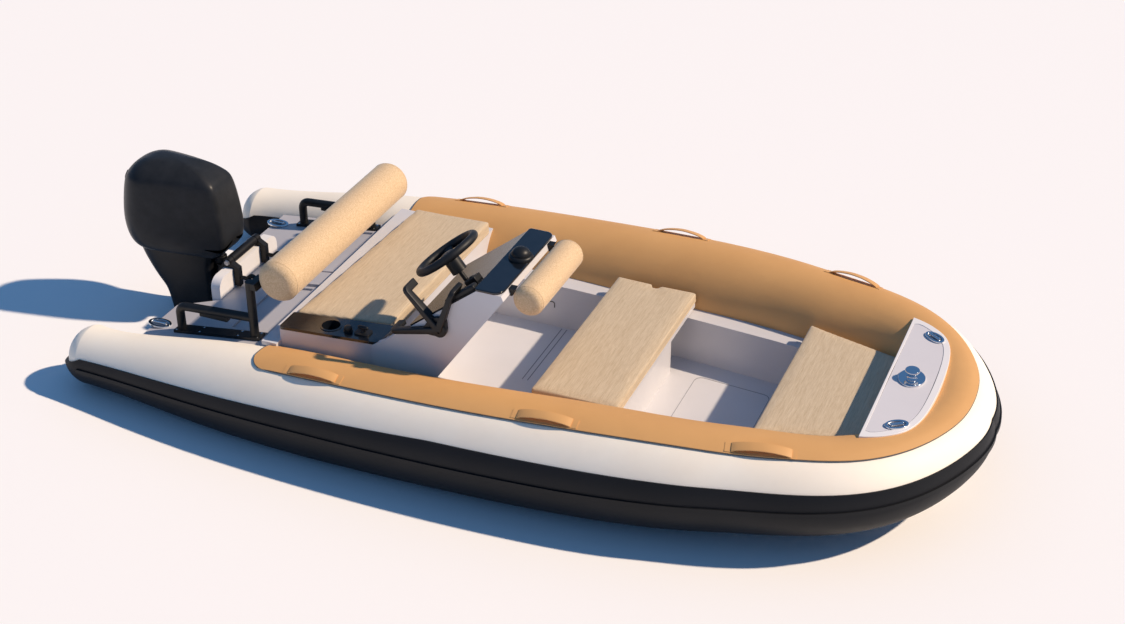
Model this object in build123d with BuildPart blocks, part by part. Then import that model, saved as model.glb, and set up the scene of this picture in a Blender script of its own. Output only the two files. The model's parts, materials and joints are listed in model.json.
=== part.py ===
"""Rigid inflatable boat, 3.4 m, with a starboard helm console and an outboard motor.

Units are millimetres.  X runs forward from the stern ends of the tubes, Y to port, Z up.
The origin lies on the centreline, at the waterline.
"""

from math import cos, radians, sin
import os

from build123d import *

os.makedirs("parts", exist_ok=True)

# ---------------------------------------------------------------- driving sizes
# Collar centreline of the port side: x, y, z of the section's centre, tube radius, inward turn in degrees
STERN_STATION_X = 70
SIDE_STATIONS = (
    # x, y, z, radius, turn
    (STERN_STATION_X, 622, 125, 118, 0.0),
    (550, 638, 141, 156, -1.5),
    (1050, 649, 159, 186, -1.0),
    (1600, 653, 179, 191, 0.5),
    (2130, 627, 199, 195, 4.7),
    (2500, 588, 214, 183, 7.5),
)
BOW_ARC_CENTRE_X = 2700
BOW_ARC_RADIUS = 537
BOW_SECTIONS = (
    # turn, z, radius
    (11, 225, 169),
    (30, 231, 160),
    (50, 236, 152),
    (70, 241, 146),
    (90, 243, 143),
)
UPPER_STEP = 5  # the cream upper skin is set in from the black lower cover by this much
LOWER_CAP_LENGTH = 100
UPPER_CAP_LENGTH = 75
# Side view line where the lower cover ends: x, z
COVER_LINE = ((-60, 90), (90, 166), (1600, 266), (2400, 288), (3500, 306))

PAD_RISE = 3  # the tan pad stands this far above the lower cover's radius
PAD_OUTER_ANGLE = 66  # degrees above the outboard horizontal
PAD_AFT_X = 835
PAD_CORNER_Y = 652
PAD_INNER_Z = 218

STRAKE_RISE = 6
STRAKE_AFT_X = 80
STRAKE_HEIGHT = 18
STRAKE_LINE = ((-60, 112), (1100, 165), (2100, 193), (3500, 256))

HANDLE_LENGTH = 185
HANDLE_WIDTH = 36
HANDLE_RISE = 26
HANDLE_THICKNESS = 8
HANDLE_ANGLE = 72
HANDLE_PLACES = (1102, 1984, 2707)

FLOOR_Z = 30
JOINT_Z = 10  # the liner stands on the hull at this height
LEDGE_Z = 220
# Underwater hull sections: x, half beam, keel z, chine z, top z
HULL_SECTIONS = (
    (355, 500, -105, -30, 20),
    (1200, 505, -115, -25, 20),
    (2100, 470, -108, -15, 40),
    (2560, 425, -85, 0, 75),
    (2960, 300, -40, 35, 100),
    (3110, 190, 20, 70, 112),
    (3230, 50, 92, 104, 118),
)

# Aft deck: slopes up going forward
DECK_AFT_X = 235
DECK_SLOPE = 0.137
DECK_Z_AT_STERN = 160
WELL_AFT_HALF = 285
WELL_FORE_HALF = 215
BOARD_X = 355
BOARD_THICKNESS = 40
BOARD_HALF = 215
BOARD_TOP_Z = 300
SEAT_BOX_AFT_X = 800
SEAT_BOX_FORE_X = 1225
COCKPIT_FORE_X = 2960

HELM_SEAT_TOP_Z = 385
HELM_SEAT_THICKNESS = 60
HELM_SEAT_PLAN = ((862, -414), (1235, -352), (1235, 505), (905, 492))
SOFT_GAP = 0.3
ARMREST_THICKNESS = 12
ARMREST_AFT_X = 862
ARMREST_AFT_Y = -532
ARMREST_FORE_X = 1252
ARMREST_FORE_Y = -494
ARMREST_INNER_AFT_Y = -422
ARMREST_INNER_FORE_Y = -366
CUP_AT = (1037, -455)
CUP_RADIUS = 36

BENCH_TOP_Z = 300
BENCH_THICKNESS = 48
BENCH_BOARD = 18

CONSOLE_OUTER_Y = -500
CONSOLE_INNER_Y = -30
CONSOLE_WALL = 25
CONSOLE_TOP_Z = 695
CONSOLE_TOP_AFT_X = 1650
CONSOLE_TOP_FORE_X = 1752
DASH_THICKNESS = 14

WHEEL_CENTRE = (1420, -255, 668)
WHEEL_RADIUS = 133
WHEEL_RIM = 16
COLUMN_ANGLE = 52

BOLSTER_X = 817
BOLSTER_Z = 513
BOLSTER_RADIUS = 84
BOLSTER_HALF = 466
FRONT_BOLSTER_X = 1818
FRONT_BOLSTER_Z = 660
FRONT_BOLSTER_RADIUS = 60
FRONT_BOLSTER_Y0 = -458
FRONT_BOLSTER_Y1 = -55

RAIL_Y = 461
RAIL_RADIUS = 17
RAIL_AFT_X = 380
RAIL_FORE_X = 706
RAIL_TOP_Z = 322
RAIL_POST_TOP_Z = 500
BOLSTER_ARM_WIDTH = 60

STEER_X = 268
TILT_X = 372
TILT_Z = 324
SHAFT_RADIUS = 12
RUNNING = 0.05
PROP_Z = -265
PROP_FACE_X = -18
PROP_RADIUS = 125

BOW_DECK_AFT_X = 2990
BOW_DECK_FORE_X = 3172
BOW_DECK_Z = 392


def deck_z(x):
    """Height of the sloping aft deck at x."""
    return DECK_Z_AT_STERN + DECK_SLOPE * x


def save(piece, name):
    piece.label = name
    export_step(piece, f"parts/{name}.step")


def slab(x0, x1, y0, y1, z0, z1):
    """A block between limits, as an object of its own."""
    block = Box(x1 - x0, y1 - y0, z1 - z0, mode=Mode.PRIVATE)
    return Pos((x0 + x1) / 2, (y0 + y1) / 2, (z0 + z1) / 2) * block


def prism_xz(points, y0, y1):
    """A side view outline extruded between two half breadths."""
    with BuildPart() as prism:
        with BuildSketch(Plane.XZ.offset(-y0)):
            with BuildLine():
                Polyline(*points, close=True)
            make_face()
        extrude(amount=-(y1 - y0))
    return prism.part


def prism_xy(points, z0, z1):
    """A plan outline extruded between two heights."""
    with BuildPart() as prism:
        with BuildSketch(Plane.XY.offset(z0)):
            with BuildLine():
                Polyline(*points, close=True)
            make_face()
        extrude(amount=z1 - z0)
    return prism.part


def both_sides(points):
    """Closes a port side outline with its mirror image."""
    return tuple(points) + tuple((x, -y) for x, y in reversed(points))


# ---------------------------------------------------------------- collar
def station_table():
    """All collar sections, stern to bow."""
    rows = list(SIDE_STATIONS)
    for turn, z, radius in BOW_SECTIONS:
        x = BOW_ARC_CENTRE_X + BOW_ARC_RADIUS * sin(radians(turn))
        y = BOW_ARC_RADIUS * cos(radians(turn))
        rows.append((x, y, z, radius, turn))
    return rows


def section_plane(x, y, z, turn):
    travel = (cos(radians(turn)), -sin(radians(turn)), 0)
    return Plane(origin=(x, y, z), x_dir=(0, 0, -1), z_dir=travel)


def tube_ring(radius_change, cap_length):
    """The whole horseshoe of tube, with its two domed ends."""
    x0, y0, z0, radius0, turn0 = SIDE_STATIONS[0]
    end_radius = radius0 + radius_change
    with BuildPart() as ring:
        for x, y, z, radius, turn in station_table():
            with BuildSketch(section_plane(x, y, z, turn)):
                Circle(radius + radius_change)
        loft()
        with BuildSketch(Plane(origin=(x0, y0, z0), x_dir=(1, 0, 0), z_dir=(0, -1, 0))):
            with BuildLine():
                Polyline((0, end_radius), (0, 0), (-cap_length, 0))
                ThreePointArc(
                    (-cap_length, 0),
                    (-cap_length * 0.7071, end_radius * 0.7071),
                    (0, end_radius),
                )
            make_face()
        revolve(axis=Axis((x0, y0, z0), (1, 0, 0)))
        mirror(about=Plane.XZ)
    return ring.part


def side_region(line, z_edge):
    """A prism across the boat between a side view line and a level."""
    with BuildPart() as region:
        with BuildSketch(Plane.XZ.offset(-1200)):
            with BuildLine():
                points = list(line)
                Polyline(*points, (points[-1][0], z_edge), (points[0][0], z_edge), close=True)
            make_face()
        extrude(amount=2400)
    return region.part


lower_ring = tube_ring(0, LOWER_CAP_LENGTH)
upper_ring = tube_ring(-UPPER_STEP, UPPER_CAP_LENGTH)
pad_ring = tube_ring(PAD_RISE, LOWER_CAP_LENGTH)
above_cover = side_region(COVER_LINE, 700)

with BuildPart() as collar_lower:
    add(lower_ring)
    add(above_cover, mode=Mode.SUBTRACT)
save(collar_lower.part, "collar_lower")

with BuildPart() as collar_upper:
    add(upper_ring)
    add(above_cover, mode=Mode.INTERSECT)
save(collar_upper.part, "collar_upper")


def tube_surface(x, angle, extra):
    """A point on the port tube near station x, its plan turn, and the local radius."""
    rows = station_table()
    for (xa, ya, za, ra, ta), (xb, yb, zb, rb, tb) in zip(rows, rows[1:]):
        if xa <= x <= xb:
            share = (x - xa) / (xb - xa)
            y, z, radius, turn = (a + (b - a) * share for a, b in ((ya, yb), (za, zb), (ra, rb), (ta, tb)))
            reach = (radius + extra) * cos(radians(angle))
            return (
                (x + reach * sin(radians(turn)), y + reach * cos(radians(turn)), z + (radius + extra) * sin(radians(angle))),
                turn,
            )
    raise ValueError(x)


def plan_points(angle):
    """Plan points of the port tube's surface line at an angle above the outboard horizontal."""
    points = []
    for x, y, z, radius, turn in station_table():
        reach = (radius + PAD_RISE) * cos(radians(angle))
        points.append((x + reach * sin(radians(turn)), y + reach * cos(radians(turn))))
    return points


with BuildPart() as pad_plan:
    with BuildSketch(Plane.XY.offset(PAD_INNER_Z)):
        with BuildLine():
            outer = [p for p in plan_points(PAD_OUTER_ANGLE) if p[0] > PAD_AFT_X + 60]
            Spline(*outer[:-1], (outer[-1][0], 0), tangents=[(1, 0.03), (0, -1)])
            Polyline((outer[-1][0], 0), (PAD_AFT_X, 0), (PAD_AFT_X, PAD_CORNER_Y))
            corner_end = tube_surface(PAD_AFT_X + 75, PAD_OUTER_ANGLE, PAD_RISE)[0]
            ThreePointArc(
                (PAD_AFT_X, PAD_CORNER_Y),
                (PAD_AFT_X + 18, corner_end[1] - 22),
                (corner_end[0], corner_end[1]),
            )
            Line((corner_end[0], corner_end[1]), outer[0])
        make_face()
    extrude(amount=400)
    mirror(about=Plane.XZ)

with BuildPart() as side_pad:
    add(pad_ring)
    add(pad_plan.part, mode=Mode.INTERSECT)
    add(upper_ring, mode=Mode.SUBTRACT)
    add(lower_ring, mode=Mode.SUBTRACT)
save(side_pad.part, "side_pad")

with BuildPart() as centre_core:
    with BuildSketch(Plane.XY.offset(-200)):
        with BuildLine():
            core = [(row[0], row[1]) for row in station_table()]
            Polyline((-300, 0), (-300, core[0][1]), *core, close=True)
        make_face()
    extrude(amount=800)
    mirror(about=Plane.XZ)

strake_ring = tube_ring(STRAKE_RISE, LOWER_CAP_LENGTH + STRAKE_RISE)
strake_low = tuple((x, z - STRAKE_HEIGHT / 2) for x, z in STRAKE_LINE)
strake_high = tuple((x, z + STRAKE_HEIGHT / 2) for x, z in reversed(STRAKE_LINE))
with BuildPart() as rub_strake:
    add(strake_ring)
    with BuildSketch(Plane.XZ.offset(-1200)):
        with BuildLine():
            Polyline(*strake_low, *strake_high, close=True)
        make_face()
    extrude(amount=2400, mode=Mode.INTERSECT)
    add(centre_core.part, mode=Mode.SUBTRACT)
    add(lower_ring, mode=Mode.SUBTRACT)
    add(slab(-200, STRAKE_AFT_X, -900, 900, -100, 400), mode=Mode.SUBTRACT)
save(rub_strake.part, "rub_strake")


def grab_handle(x, side):
    """A padded strap handle that arches off the tube."""
    point, turn = tube_surface(x, HANDLE_ANGLE, PAD_RISE)
    turn_r, tip = radians(turn), radians(HANDLE_ANGLE)
    outward = (cos(tip) * sin(turn_r), cos(tip) * cos(turn_r), sin(tip))
    along = (cos(turn_r), -sin(turn_r), 0)
    plane = Plane(origin=point, x_dir=along, z_dir=Vector(*along).cross(Vector(*outward)))
    with BuildPart() as handle:
        with BuildSketch(plane):
            with BuildLine():
                half = HANDLE_LENGTH / 2
                inner = HANDLE_RISE - HANDLE_THICKNESS
                ThreePointArc((-half, -12), (0, HANDLE_RISE), (half, -12))
                Line((half, -12), (half - 22, -12))
                ThreePointArc((half - 22, -12), (0, inner), (22 - half, -12))
                Line((22 - half, -12), (-half, -12))
            make_face()
        extrude(amount=HANDLE_WIDTH / 2, both=True)
        fillet(handle.edges().filter_by(GeomType.CIRCLE), radius=2.5)
        add(pad_ring, mode=Mode.SUBTRACT)
    loose = handle.part.solids().sort_by(SortBy.VOLUME)[-1]
    return loose if side > 0 else mirror(loose, about=Plane.XZ)


for side, word in ((-1, "starboard"), (1, "port")):
    save(Compound(children=[grab_handle(x, side) for x in HANDLE_PLACES]), f"grab_handles_{word}")


# ---------------------------------------------------------------- hull and liner
# Cockpit mouldings stay inside this plan line: x, half breadth
LINER_PLAN = ((SEAT_BOX_AFT_X, 470), (1650, 470), (2130, 438), (2560, 395), (2960, 272), (3060, 200), (3130, 100))


with BuildPart() as hull_bottom:
    for x, half, keel, chine, top in HULL_SECTIONS:
        with BuildSketch(Plane(origin=(x, 0, 0), x_dir=(0, 1, 0), z_dir=(1, 0, 0))):
            with BuildLine():
                Polyline(
                    (0, keel), (half, chine), (half, top), (-half, top), (-half, chine), close=True
                )
            make_face()
    loft(ruled=True)
    add(lower_ring, mode=Mode.SUBTRACT)
    add(prism_xy(both_sides(((BOARD_X - 10, 560), (SEAT_BOX_AFT_X, 560), *LINER_PLAN)), JOINT_Z, 400), mode=Mode.SUBTRACT)
save(hull_bottom.part, "hull_bottom")


# inside line of the collar's core, for mouldings that are then cut to the tubes
MOULD_HALF = 560

with BuildPart() as aft_deck:
    add(
        prism_xz(
            (
                (DECK_AFT_X, JOINT_Z),
                (SEAT_BOX_AFT_X, JOINT_Z),
                (SEAT_BOX_AFT_X, deck_z(SEAT_BOX_AFT_X)),
                (DECK_AFT_X, deck_z(DECK_AFT_X)),
            ),
            -MOULD_HALF,
            MOULD_HALF,
        )
    )
    add(
        prism_xy(
            both_sides(
                (
                    (DECK_AFT_X - 100, WELL_AFT_HALF + 75),
                    (DECK_AFT_X, WELL_AFT_HALF),
                    (BOARD_X + BOARD_THICKNESS, WELL_FORE_HALF),
                )
            ),
            -200,
            400,
        ),
        mode=Mode.SUBTRACT,
    )
    add(lower_ring, mode=Mode.SUBTRACT)
save(aft_deck.part, "aft_deck")

with BuildPart() as transom_board:
    with BuildSketch(Plane.YZ.offset(BOARD_X)):
        with Locations((0, (BOARD_TOP_Z + JOINT_Z) / 2)):
            Rectangle(2 * BOARD_HALF, BOARD_TOP_Z - JOINT_Z)
    extrude(amount=BOARD_THICKNESS)
    fillet(transom_board.edges().filter_by(Axis.X).group_by(Axis.Z)[-1], radius=45)
save(transom_board.part, "transom_board")

TRAY_X0 = 560
TRAY_X1 = 752
TRAY_Y0 = 66
TRAY_Y1 = 430
TRAY_RIM = 14
TRAY_RISE = 8


def deck_prism(x0, x1, y0, y1, rise):
    """A flat pad lying on the sloping aft deck."""
    return prism_xz(
        ((x0, deck_z(x0)), (x1, deck_z(x1)), (x1, deck_z(x1) + rise), (x0, deck_z(x0) + rise)), y0, y1
    )


with BuildPart() as deck_trays:
    for y0, y1 in ((TRAY_Y0, TRAY_Y1), (-TRAY_Y1, -TRAY_Y0)):
        add(deck_prism(TRAY_X0, TRAY_X1, y0, y1, TRAY_RISE))
        add(
            deck_prism(TRAY_X0 + TRAY_RIM, TRAY_X1 - TRAY_RIM, y0 + TRAY_RIM, y1 - TRAY_RIM, TRAY_RISE + 1),
            mode=Mode.SUBTRACT,
        )
    add(deck_prism(TRAY_X1 - 62, SEAT_BOX_AFT_X, -54, 46, 14))
save(deck_trays.part, "deck_trays")

# The liner: seat box, ledges, floor and bow locker
WELL_HALF = 385
SEAT_BASE_Z = HELM_SEAT_TOP_Z - HELM_SEAT_THICKNESS
with BuildPart() as inner_liner:
    add(prism_xy(both_sides(LINER_PLAN), JOINT_Z, LEDGE_Z))
    add(
        prism_xy(
            (
                (SEAT_BOX_AFT_X, -MOULD_HALF),
                (ARMREST_AFT_X, -MOULD_HALF),
                (ARMREST_AFT_X, ARMREST_AFT_Y + 4),
                (SEAT_BOX_FORE_X, ARMREST_FORE_Y + 4),
                (SEAT_BOX_FORE_X, MOULD_HALF),
                (SEAT_BOX_AFT_X, MOULD_HALF),
            ),
            LEDGE_Z - 60,
            SEAT_BASE_Z,
        )
    )
    add(
        prism_xy(
            both_sides(
                (
                    (SEAT_BOX_FORE_X, WELL_HALF),
                    (1650, WELL_HALF),
                    (2130, 358),
                    (2500, 325),
                    (2800, 285),
                    (COCKPIT_FORE_X, 240),
                )
            ),
            FLOOR_Z,
            600,
        ),
        mode=Mode.SUBTRACT,
    )
    add(lower_ring, mode=Mode.SUBTRACT)
    add(side_pad.part, mode=Mode.SUBTRACT)
    add(hull_bottom.part, mode=Mode.SUBTRACT)
liner_solid = inner_liner.part.solids().sort_by(SortBy.VOLUME)[-1]
save(Compound(children=[liner_solid]), "inner_liner")

with BuildPart() as bow_deck:
    add(
        prism_xy(
            both_sides(
                (
                    (BOW_DECK_AFT_X, 405),
                    (3060, 372),
                    (3124, 313),
                    (3158, 225),
                    (BOW_DECK_FORE_X, 90),
                )
            ),
            LEDGE_Z,
            BOW_DECK_Z,
        )
    )
    add(lower_ring, mode=Mode.SUBTRACT)
    add(pad_ring, mode=Mode.SUBTRACT)
save(bow_deck.part, "bow_deck")


# ---------------------------------------------------------------- seats
with BuildPart() as helm_seat_cushion:
    with BuildSketch(Plane.XY.offset(SEAT_BASE_Z + SOFT_GAP)):
        with BuildLine():
            Polyline(*HELM_SEAT_PLAN, close=True)
        make_face()
    extrude(amount=HELM_SEAT_THICKNESS - SOFT_GAP)
    fillet(helm_seat_cushion.edges().group_by(Axis.Z)[-1], radius=8)
    add(pad_ring, mode=Mode.SUBTRACT)
save(helm_seat_cushion.part, "helm_seat_cushion")


def thwart(name, aft_x, fore_x, aft_half, fore_half, notch):
    """A bench cushion on its board; both follow the narrowing cockpit."""
    corners = ((aft_x, aft_half), (fore_x, fore_half))
    with BuildPart() as cushion:
        with BuildSketch(Plane.XY.offset(BENCH_TOP_Z - BENCH_THICKNESS + SOFT_GAP)):
            with BuildLine():
                Polyline(*both_sides(corners), close=True)
            make_face()
            if notch:
                with Locations(((aft_x + fore_x) / 2, (aft_half + fore_half) / 2)):
                    Circle(notch, mode=Mode.SUBTRACT)
        extrude(amount=BENCH_THICKNESS - SOFT_GAP)
        fillet(cushion.edges().group_by(Axis.Z)[-1], radius=6)
        add(pad_ring, mode=Mode.SUBTRACT)
    save(cushion.part, f"{name}_cushion")
    board_top = BENCH_TOP_Z - BENCH_THICKNESS
    board_corners = ((aft_x + 15, aft_half - 6), (fore_x - 8, fore_half - 6))
    with BuildPart() as board:
        add(prism_xy(both_sides(board_corners), board_top - BENCH_BOARD, board_top))
        return_half = aft_half - 190
        for x in (aft_x + 40, fore_x - 55):
            add(slab(x, x + 15, -return_half, return_half, FLOOR_Z, board_top - BENCH_BOARD))
        for y in (-return_half, return_half - 15):
            add(slab(aft_x + 55, fore_x - 55, y, y + 15, FLOOR_Z, board_top - BENCH_BOARD))
        for y in (-1, 1):
            add(slab(aft_x + 30, fore_x - 30, y * (fore_half - 20) - 15, y * (fore_half - 20) + 15, LEDGE_Z, board_top - BENCH_BOARD))
        add(pad_ring, mode=Mode.SUBTRACT)
        add(hull_bottom.part, mode=Mode.SUBTRACT)
    save(board.part, f"{name}_base")


thwart("mid_bench", 1815, 2151, 434, 428, 22)
thwart("front_bench", 2612, 2911, 376, 300, 0)

# ---------------------------------------------------------------- helm console
def console_front_x(z):
    """The raked front of the console."""
    return CONSOLE_TOP_FORE_X - (CONSOLE_TOP_Z - 19 - z) * 0.708


top_aft = (CONSOLE_TOP_AFT_X, CONSOLE_TOP_Z)
front_low = (console_front_x(FLOOR_Z), FLOOR_Z)
front_high = (CONSOLE_TOP_FORE_X, CONSOLE_TOP_Z - 19)
top_fore = (CONSOLE_TOP_FORE_X - 8, CONSOLE_TOP_Z)
with BuildPart() as console_shell:
    add(
        prism_xz(
            (
                (SEAT_BOX_FORE_X, LEDGE_Z),
                (SEAT_BOX_FORE_X, 372),
                (1272, 400),
                top_aft,
                top_fore,
                front_high,
                front_low,
                (1262, FLOOR_Z),
            ),
            CONSOLE_OUTER_Y,
            CONSOLE_OUTER_Y + CONSOLE_WALL,
        )
    )
    add(
        prism_xz(
            ((1430, 425), top_aft, top_fore, front_high, front_low, (1262, FLOOR_Z)),
            CONSOLE_INNER_Y - CONSOLE_WALL,
            CONSOLE_INNER_Y,
        )
    )
    add(
        prism_xz(
            (
                (CONSOLE_TOP_FORE_X - 35, CONSOLE_TOP_Z),
                top_fore,
                front_high,
                front_low,
                (front_low[0] - 30, FLOOR_Z),
            ),
            CONSOLE_OUTER_Y,
            CONSOLE_INNER_Y,
        )
    )
    add(pad_ring, mode=Mode.SUBTRACT)
    add(inner_liner.part, mode=Mode.SUBTRACT)
with BuildPart() as front_roll_space:
    with BuildSketch(Plane(origin=(FRONT_BOLSTER_X, -700, FRONT_BOLSTER_Z), x_dir=(1, 0, 0), z_dir=(0, 1, 0))):
        Circle(FRONT_BOLSTER_RADIUS + SOFT_GAP)
    extrude(amount=700)
save(console_shell.part, "console_shell")

panel_foot = (1430, 425)
with BuildPart() as dash_panel:
    add(
        prism_xz(
            (
                panel_foot,
                top_aft,
                (CONSOLE_TOP_FORE_X - 35, CONSOLE_TOP_Z),
                (CONSOLE_TOP_FORE_X - 35, CONSOLE_TOP_Z - DASH_THICKNESS),
                (CONSOLE_TOP_AFT_X + 8, CONSOLE_TOP_Z - DASH_THICKNESS),
                (panel_foot[0] + 16, panel_foot[1] - 4),
            ),
            CONSOLE_OUTER_Y + CONSOLE_WALL,
            CONSOLE_INNER_Y - CONSOLE_WALL,
        )
    )
    add(console_shell.part, mode=Mode.SUBTRACT)
    add(
        slab(
            CONSOLE_TOP_AFT_X,
            CONSOLE_TOP_FORE_X - 8,
            CONSOLE_OUTER_Y - 2,
            CONSOLE_INNER_Y + 2,
            CONSOLE_TOP_Z,
            CONSOLE_TOP_Z + 10,
        )
    )
save(dash_panel.part, "dash_panel")

COMPASS_AT = (1706, -245)
with BuildPart() as compass:
    with BuildSketch(Plane.XY.offset(CONSOLE_TOP_Z + 10)):
        with Locations(COMPASS_AT):
            Circle(44)
    extrude(amount=12)
    with BuildSketch(Plane.XY.offset(CONSOLE_TOP_Z + 22)):
        with Locations(COMPASS_AT):
            Circle(29)
    extrude(amount=26)
    fillet(compass.edges().group_by(Axis.Z)[-1], radius=20)
save(compass.part, "compass")


def roll(name, x, z, y0, y1, radius, end_radius):
    """A bolster: a padded cylinder lying across the boat."""
    with BuildPart() as bolster:
        with BuildSketch(Plane(origin=(x, y0, z), x_dir=(1, 0, 0), z_dir=(0, 1, 0))):
            Circle(radius)
        extrude(amount=y1 - y0)
        fillet(bolster.edges().filter_by(GeomType.CIRCLE), radius=end_radius)
    save(bolster.part, name)


roll("rear_bolster", BOLSTER_X, BOLSTER_Z, -BOLSTER_HALF, BOLSTER_HALF, BOLSTER_RADIUS, 32)
roll("front_bolster", FRONT_BOLSTER_X, FRONT_BOLSTER_Z, FRONT_BOLSTER_Y0, FRONT_BOLSTER_Y1, FRONT_BOLSTER_RADIUS, 24)

with BuildPart() as bolster_brackets:
    for y in (FRONT_BOLSTER_Y0 + 18, FRONT_BOLSTER_Y1 - 48):
        add(
            prism_xz(
                (
                    (CONSOLE_TOP_FORE_X - 8, CONSOLE_TOP_Z),
                    (FRONT_BOLSTER_X, CONSOLE_TOP_Z),
                    (FRONT_BOLSTER_X, FRONT_BOLSTER_Z),
                    (front_high[0] - 5, front_high[1] - 7),
                    front_high,
                ),
                y,
                y + 30,
            )
        )
    add(front_roll_space.part, mode=Mode.SUBTRACT)
    add(console_shell.part, mode=Mode.SUBTRACT)
save(bolster_brackets.part, "bolster_brackets")

with BuildPart() as armrest_panel:
    with BuildSketch(Plane.XY.offset(HELM_SEAT_TOP_Z - ARMREST_THICKNESS)):
        with BuildLine():
            Polyline(
                (ARMREST_AFT_X, ARMREST_AFT_Y),
                (ARMREST_FORE_X - 16, ARMREST_FORE_Y),
                (ARMREST_FORE_X, ARMREST_FORE_Y + 14),
                (ARMREST_FORE_X, ARMREST_INNER_FORE_Y),
                (ARMREST_AFT_X, ARMREST_INNER_AFT_Y),
                close=True,
            )
        make_face()
        with Locations(CUP_AT):
            Circle(CUP_RADIUS, mode=Mode.SUBTRACT)
    extrude(amount=ARMREST_THICKNESS)
    add(console_shell.part, mode=Mode.SUBTRACT)
save(armrest_panel.part, "armrest_panel")

arm_base_top = HELM_SEAT_TOP_Z - ARMREST_THICKNESS
with BuildPart() as armrest_wall:
    with BuildSketch(Plane.XY.offset(SEAT_BASE_Z)):
        with BuildLine():
            Polyline(
                (ARMREST_AFT_X, ARMREST_AFT_Y + 4),
                (SEAT_BOX_FORE_X, ARMREST_FORE_Y + 4),
                (SEAT_BOX_FORE_X, ARMREST_INNER_FORE_Y - 4),
                (ARMREST_AFT_X, ARMREST_INNER_AFT_Y - 4),
                close=True,
            )
        make_face()
        with Locations(CUP_AT):
            Circle(CUP_RADIUS, mode=Mode.SUBTRACT)
    extrude(amount=arm_base_top - SEAT_BASE_Z)
    add(pad_ring, mode=Mode.SUBTRACT)
save(armrest_wall.part, "armrest_wall")

KNOB_AT = (1112, -463)
CONTROL_AT = (1170, -455)
with BuildPart() as armrest_fittings:
    with BuildSketch(Plane.XY.offset(HELM_SEAT_TOP_Z)):
        with Locations(KNOB_AT):
            Circle(17)
    extrude(amount=22)
    with BuildSketch(Plane.XY.offset(HELM_SEAT_TOP_Z)):
        with Locations(CONTROL_AT):
            Rectangle(58, 46)
    extrude(amount=7)
    with BuildSketch(Plane.XY.offset(HELM_SEAT_TOP_Z + 7)):
        with Locations(CONTROL_AT):
            Circle(9)
    extrude(amount=14)
    with BuildSketch(Plane.XY.offset(HELM_SEAT_TOP_Z + 21)):
        with Locations(CONTROL_AT):
            Rectangle(40, 16)
    extrude(amount=9)
save(armrest_fittings.part, "armrest_fittings")


# ---------------------------------------------------------------- steering wheel and column
tilt = radians(COLUMN_ANGLE)
column_dir = Vector(cos(tilt), 0, -sin(tilt))
wheel_at = Vector(*WHEEL_CENTRE)
wheel_plane = Plane(origin=wheel_at, x_dir=(0, 1, 0), z_dir=column_dir)
BOSS_START = 4
HUB_START = 30
HUB_LENGTH = 44
SHAFT_END = 175
END_PLAY = 2

with BuildPart() as steering_wheel:
    with BuildSketch(Plane(origin=wheel_at, x_dir=(0, 1, 0), z_dir=wheel_plane.y_dir)):
        with Locations((WHEEL_RADIUS - WHEEL_RIM, 0)):
            Circle(WHEEL_RIM)
    revolve(axis=Axis(wheel_at, column_dir))
    with BuildSketch(wheel_plane.offset(BOSS_START)):
        Circle(34)
    extrude(amount=22)
    with BuildSketch(wheel_plane.offset(8)):
        for angle in (90, 210, 330):
            with Locations(Rot(0, 0, angle) * Pos((WHEEL_RADIUS - WHEEL_RIM) / 2, 0)):
                Rectangle(WHEEL_RADIUS - WHEEL_RIM, 26)
    extrude(amount=9)
    with BuildSketch(wheel_plane.offset(BOSS_START)):
        Circle(SHAFT_RADIUS)
    extrude(amount=HUB_START + HUB_LENGTH - BOSS_START - END_PLAY)
save(steering_wheel.part, "steering_wheel")

with BuildPart() as steering_column:
    with BuildSketch(wheel_plane.offset(HUB_START)):
        Circle(30)
        Circle(SHAFT_RADIUS + RUNNING, mode=Mode.SUBTRACT)
    extrude(amount=HUB_LENGTH)
    with BuildSketch(wheel_plane.offset(HUB_START + HUB_LENGTH)):
        Circle(30)
    extrude(amount=6)
    with BuildSketch(wheel_plane.offset(HUB_START + HUB_LENGTH)):
        Circle(9)
    extrude(amount=SHAFT_END - HUB_START - HUB_LENGTH)
    foot = wheel_plane.offset(SHAFT_END).origin
    add(
        prism_xz(
            (
                (foot.X - 20, foot.Z + 12),
                (foot.X + 30, foot.Z + 12),
                (foot.X + 30, foot.Z - 14),
                (foot.X - 20, foot.Z - 14),
            ),
            CONSOLE_OUTER_Y + CONSOLE_WALL,
            foot.Y + 20,
        )
    )
    add(dash_panel.part, mode=Mode.SUBTRACT)
save(steering_column.part, "steering_column")

# ---------------------------------------------------------------- three arm lever on the console's side
LEVER_HUB = (1508, 514)
LEVER_TIPS = ((1328, 464), (1384, 643), (1560, 666))
LEVER_WIDTH = 26
LEVER_THICKNESS = 18
LEVER_GRIP = 62
with BuildPart() as lever_frame:
    with BuildSketch(Plane.XZ.offset(-CONSOLE_OUTER_Y)):
        with Locations(LEVER_HUB):
            Circle(31)
        for tip in LEVER_TIPS:
            with BuildLine():
                arm = Line(LEVER_HUB, tip)
            trace(lines=arm, line_width=LEVER_WIDTH)
            with Locations(tip):
                Circle(LEVER_WIDTH / 2)
    extrude(amount=LEVER_THICKNESS)
    with BuildSketch(Plane.XZ.offset(-CONSOLE_OUTER_Y)):
        with Locations(*LEVER_TIPS):
            Circle(LEVER_WIDTH / 2 - 2)
    extrude(amount=-LEVER_GRIP)
    add(console_shell.part, mode=Mode.SUBTRACT)
    add(armrest_panel.part, mode=Mode.SUBTRACT)
save(lever_frame.part, "lever_frame")

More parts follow.
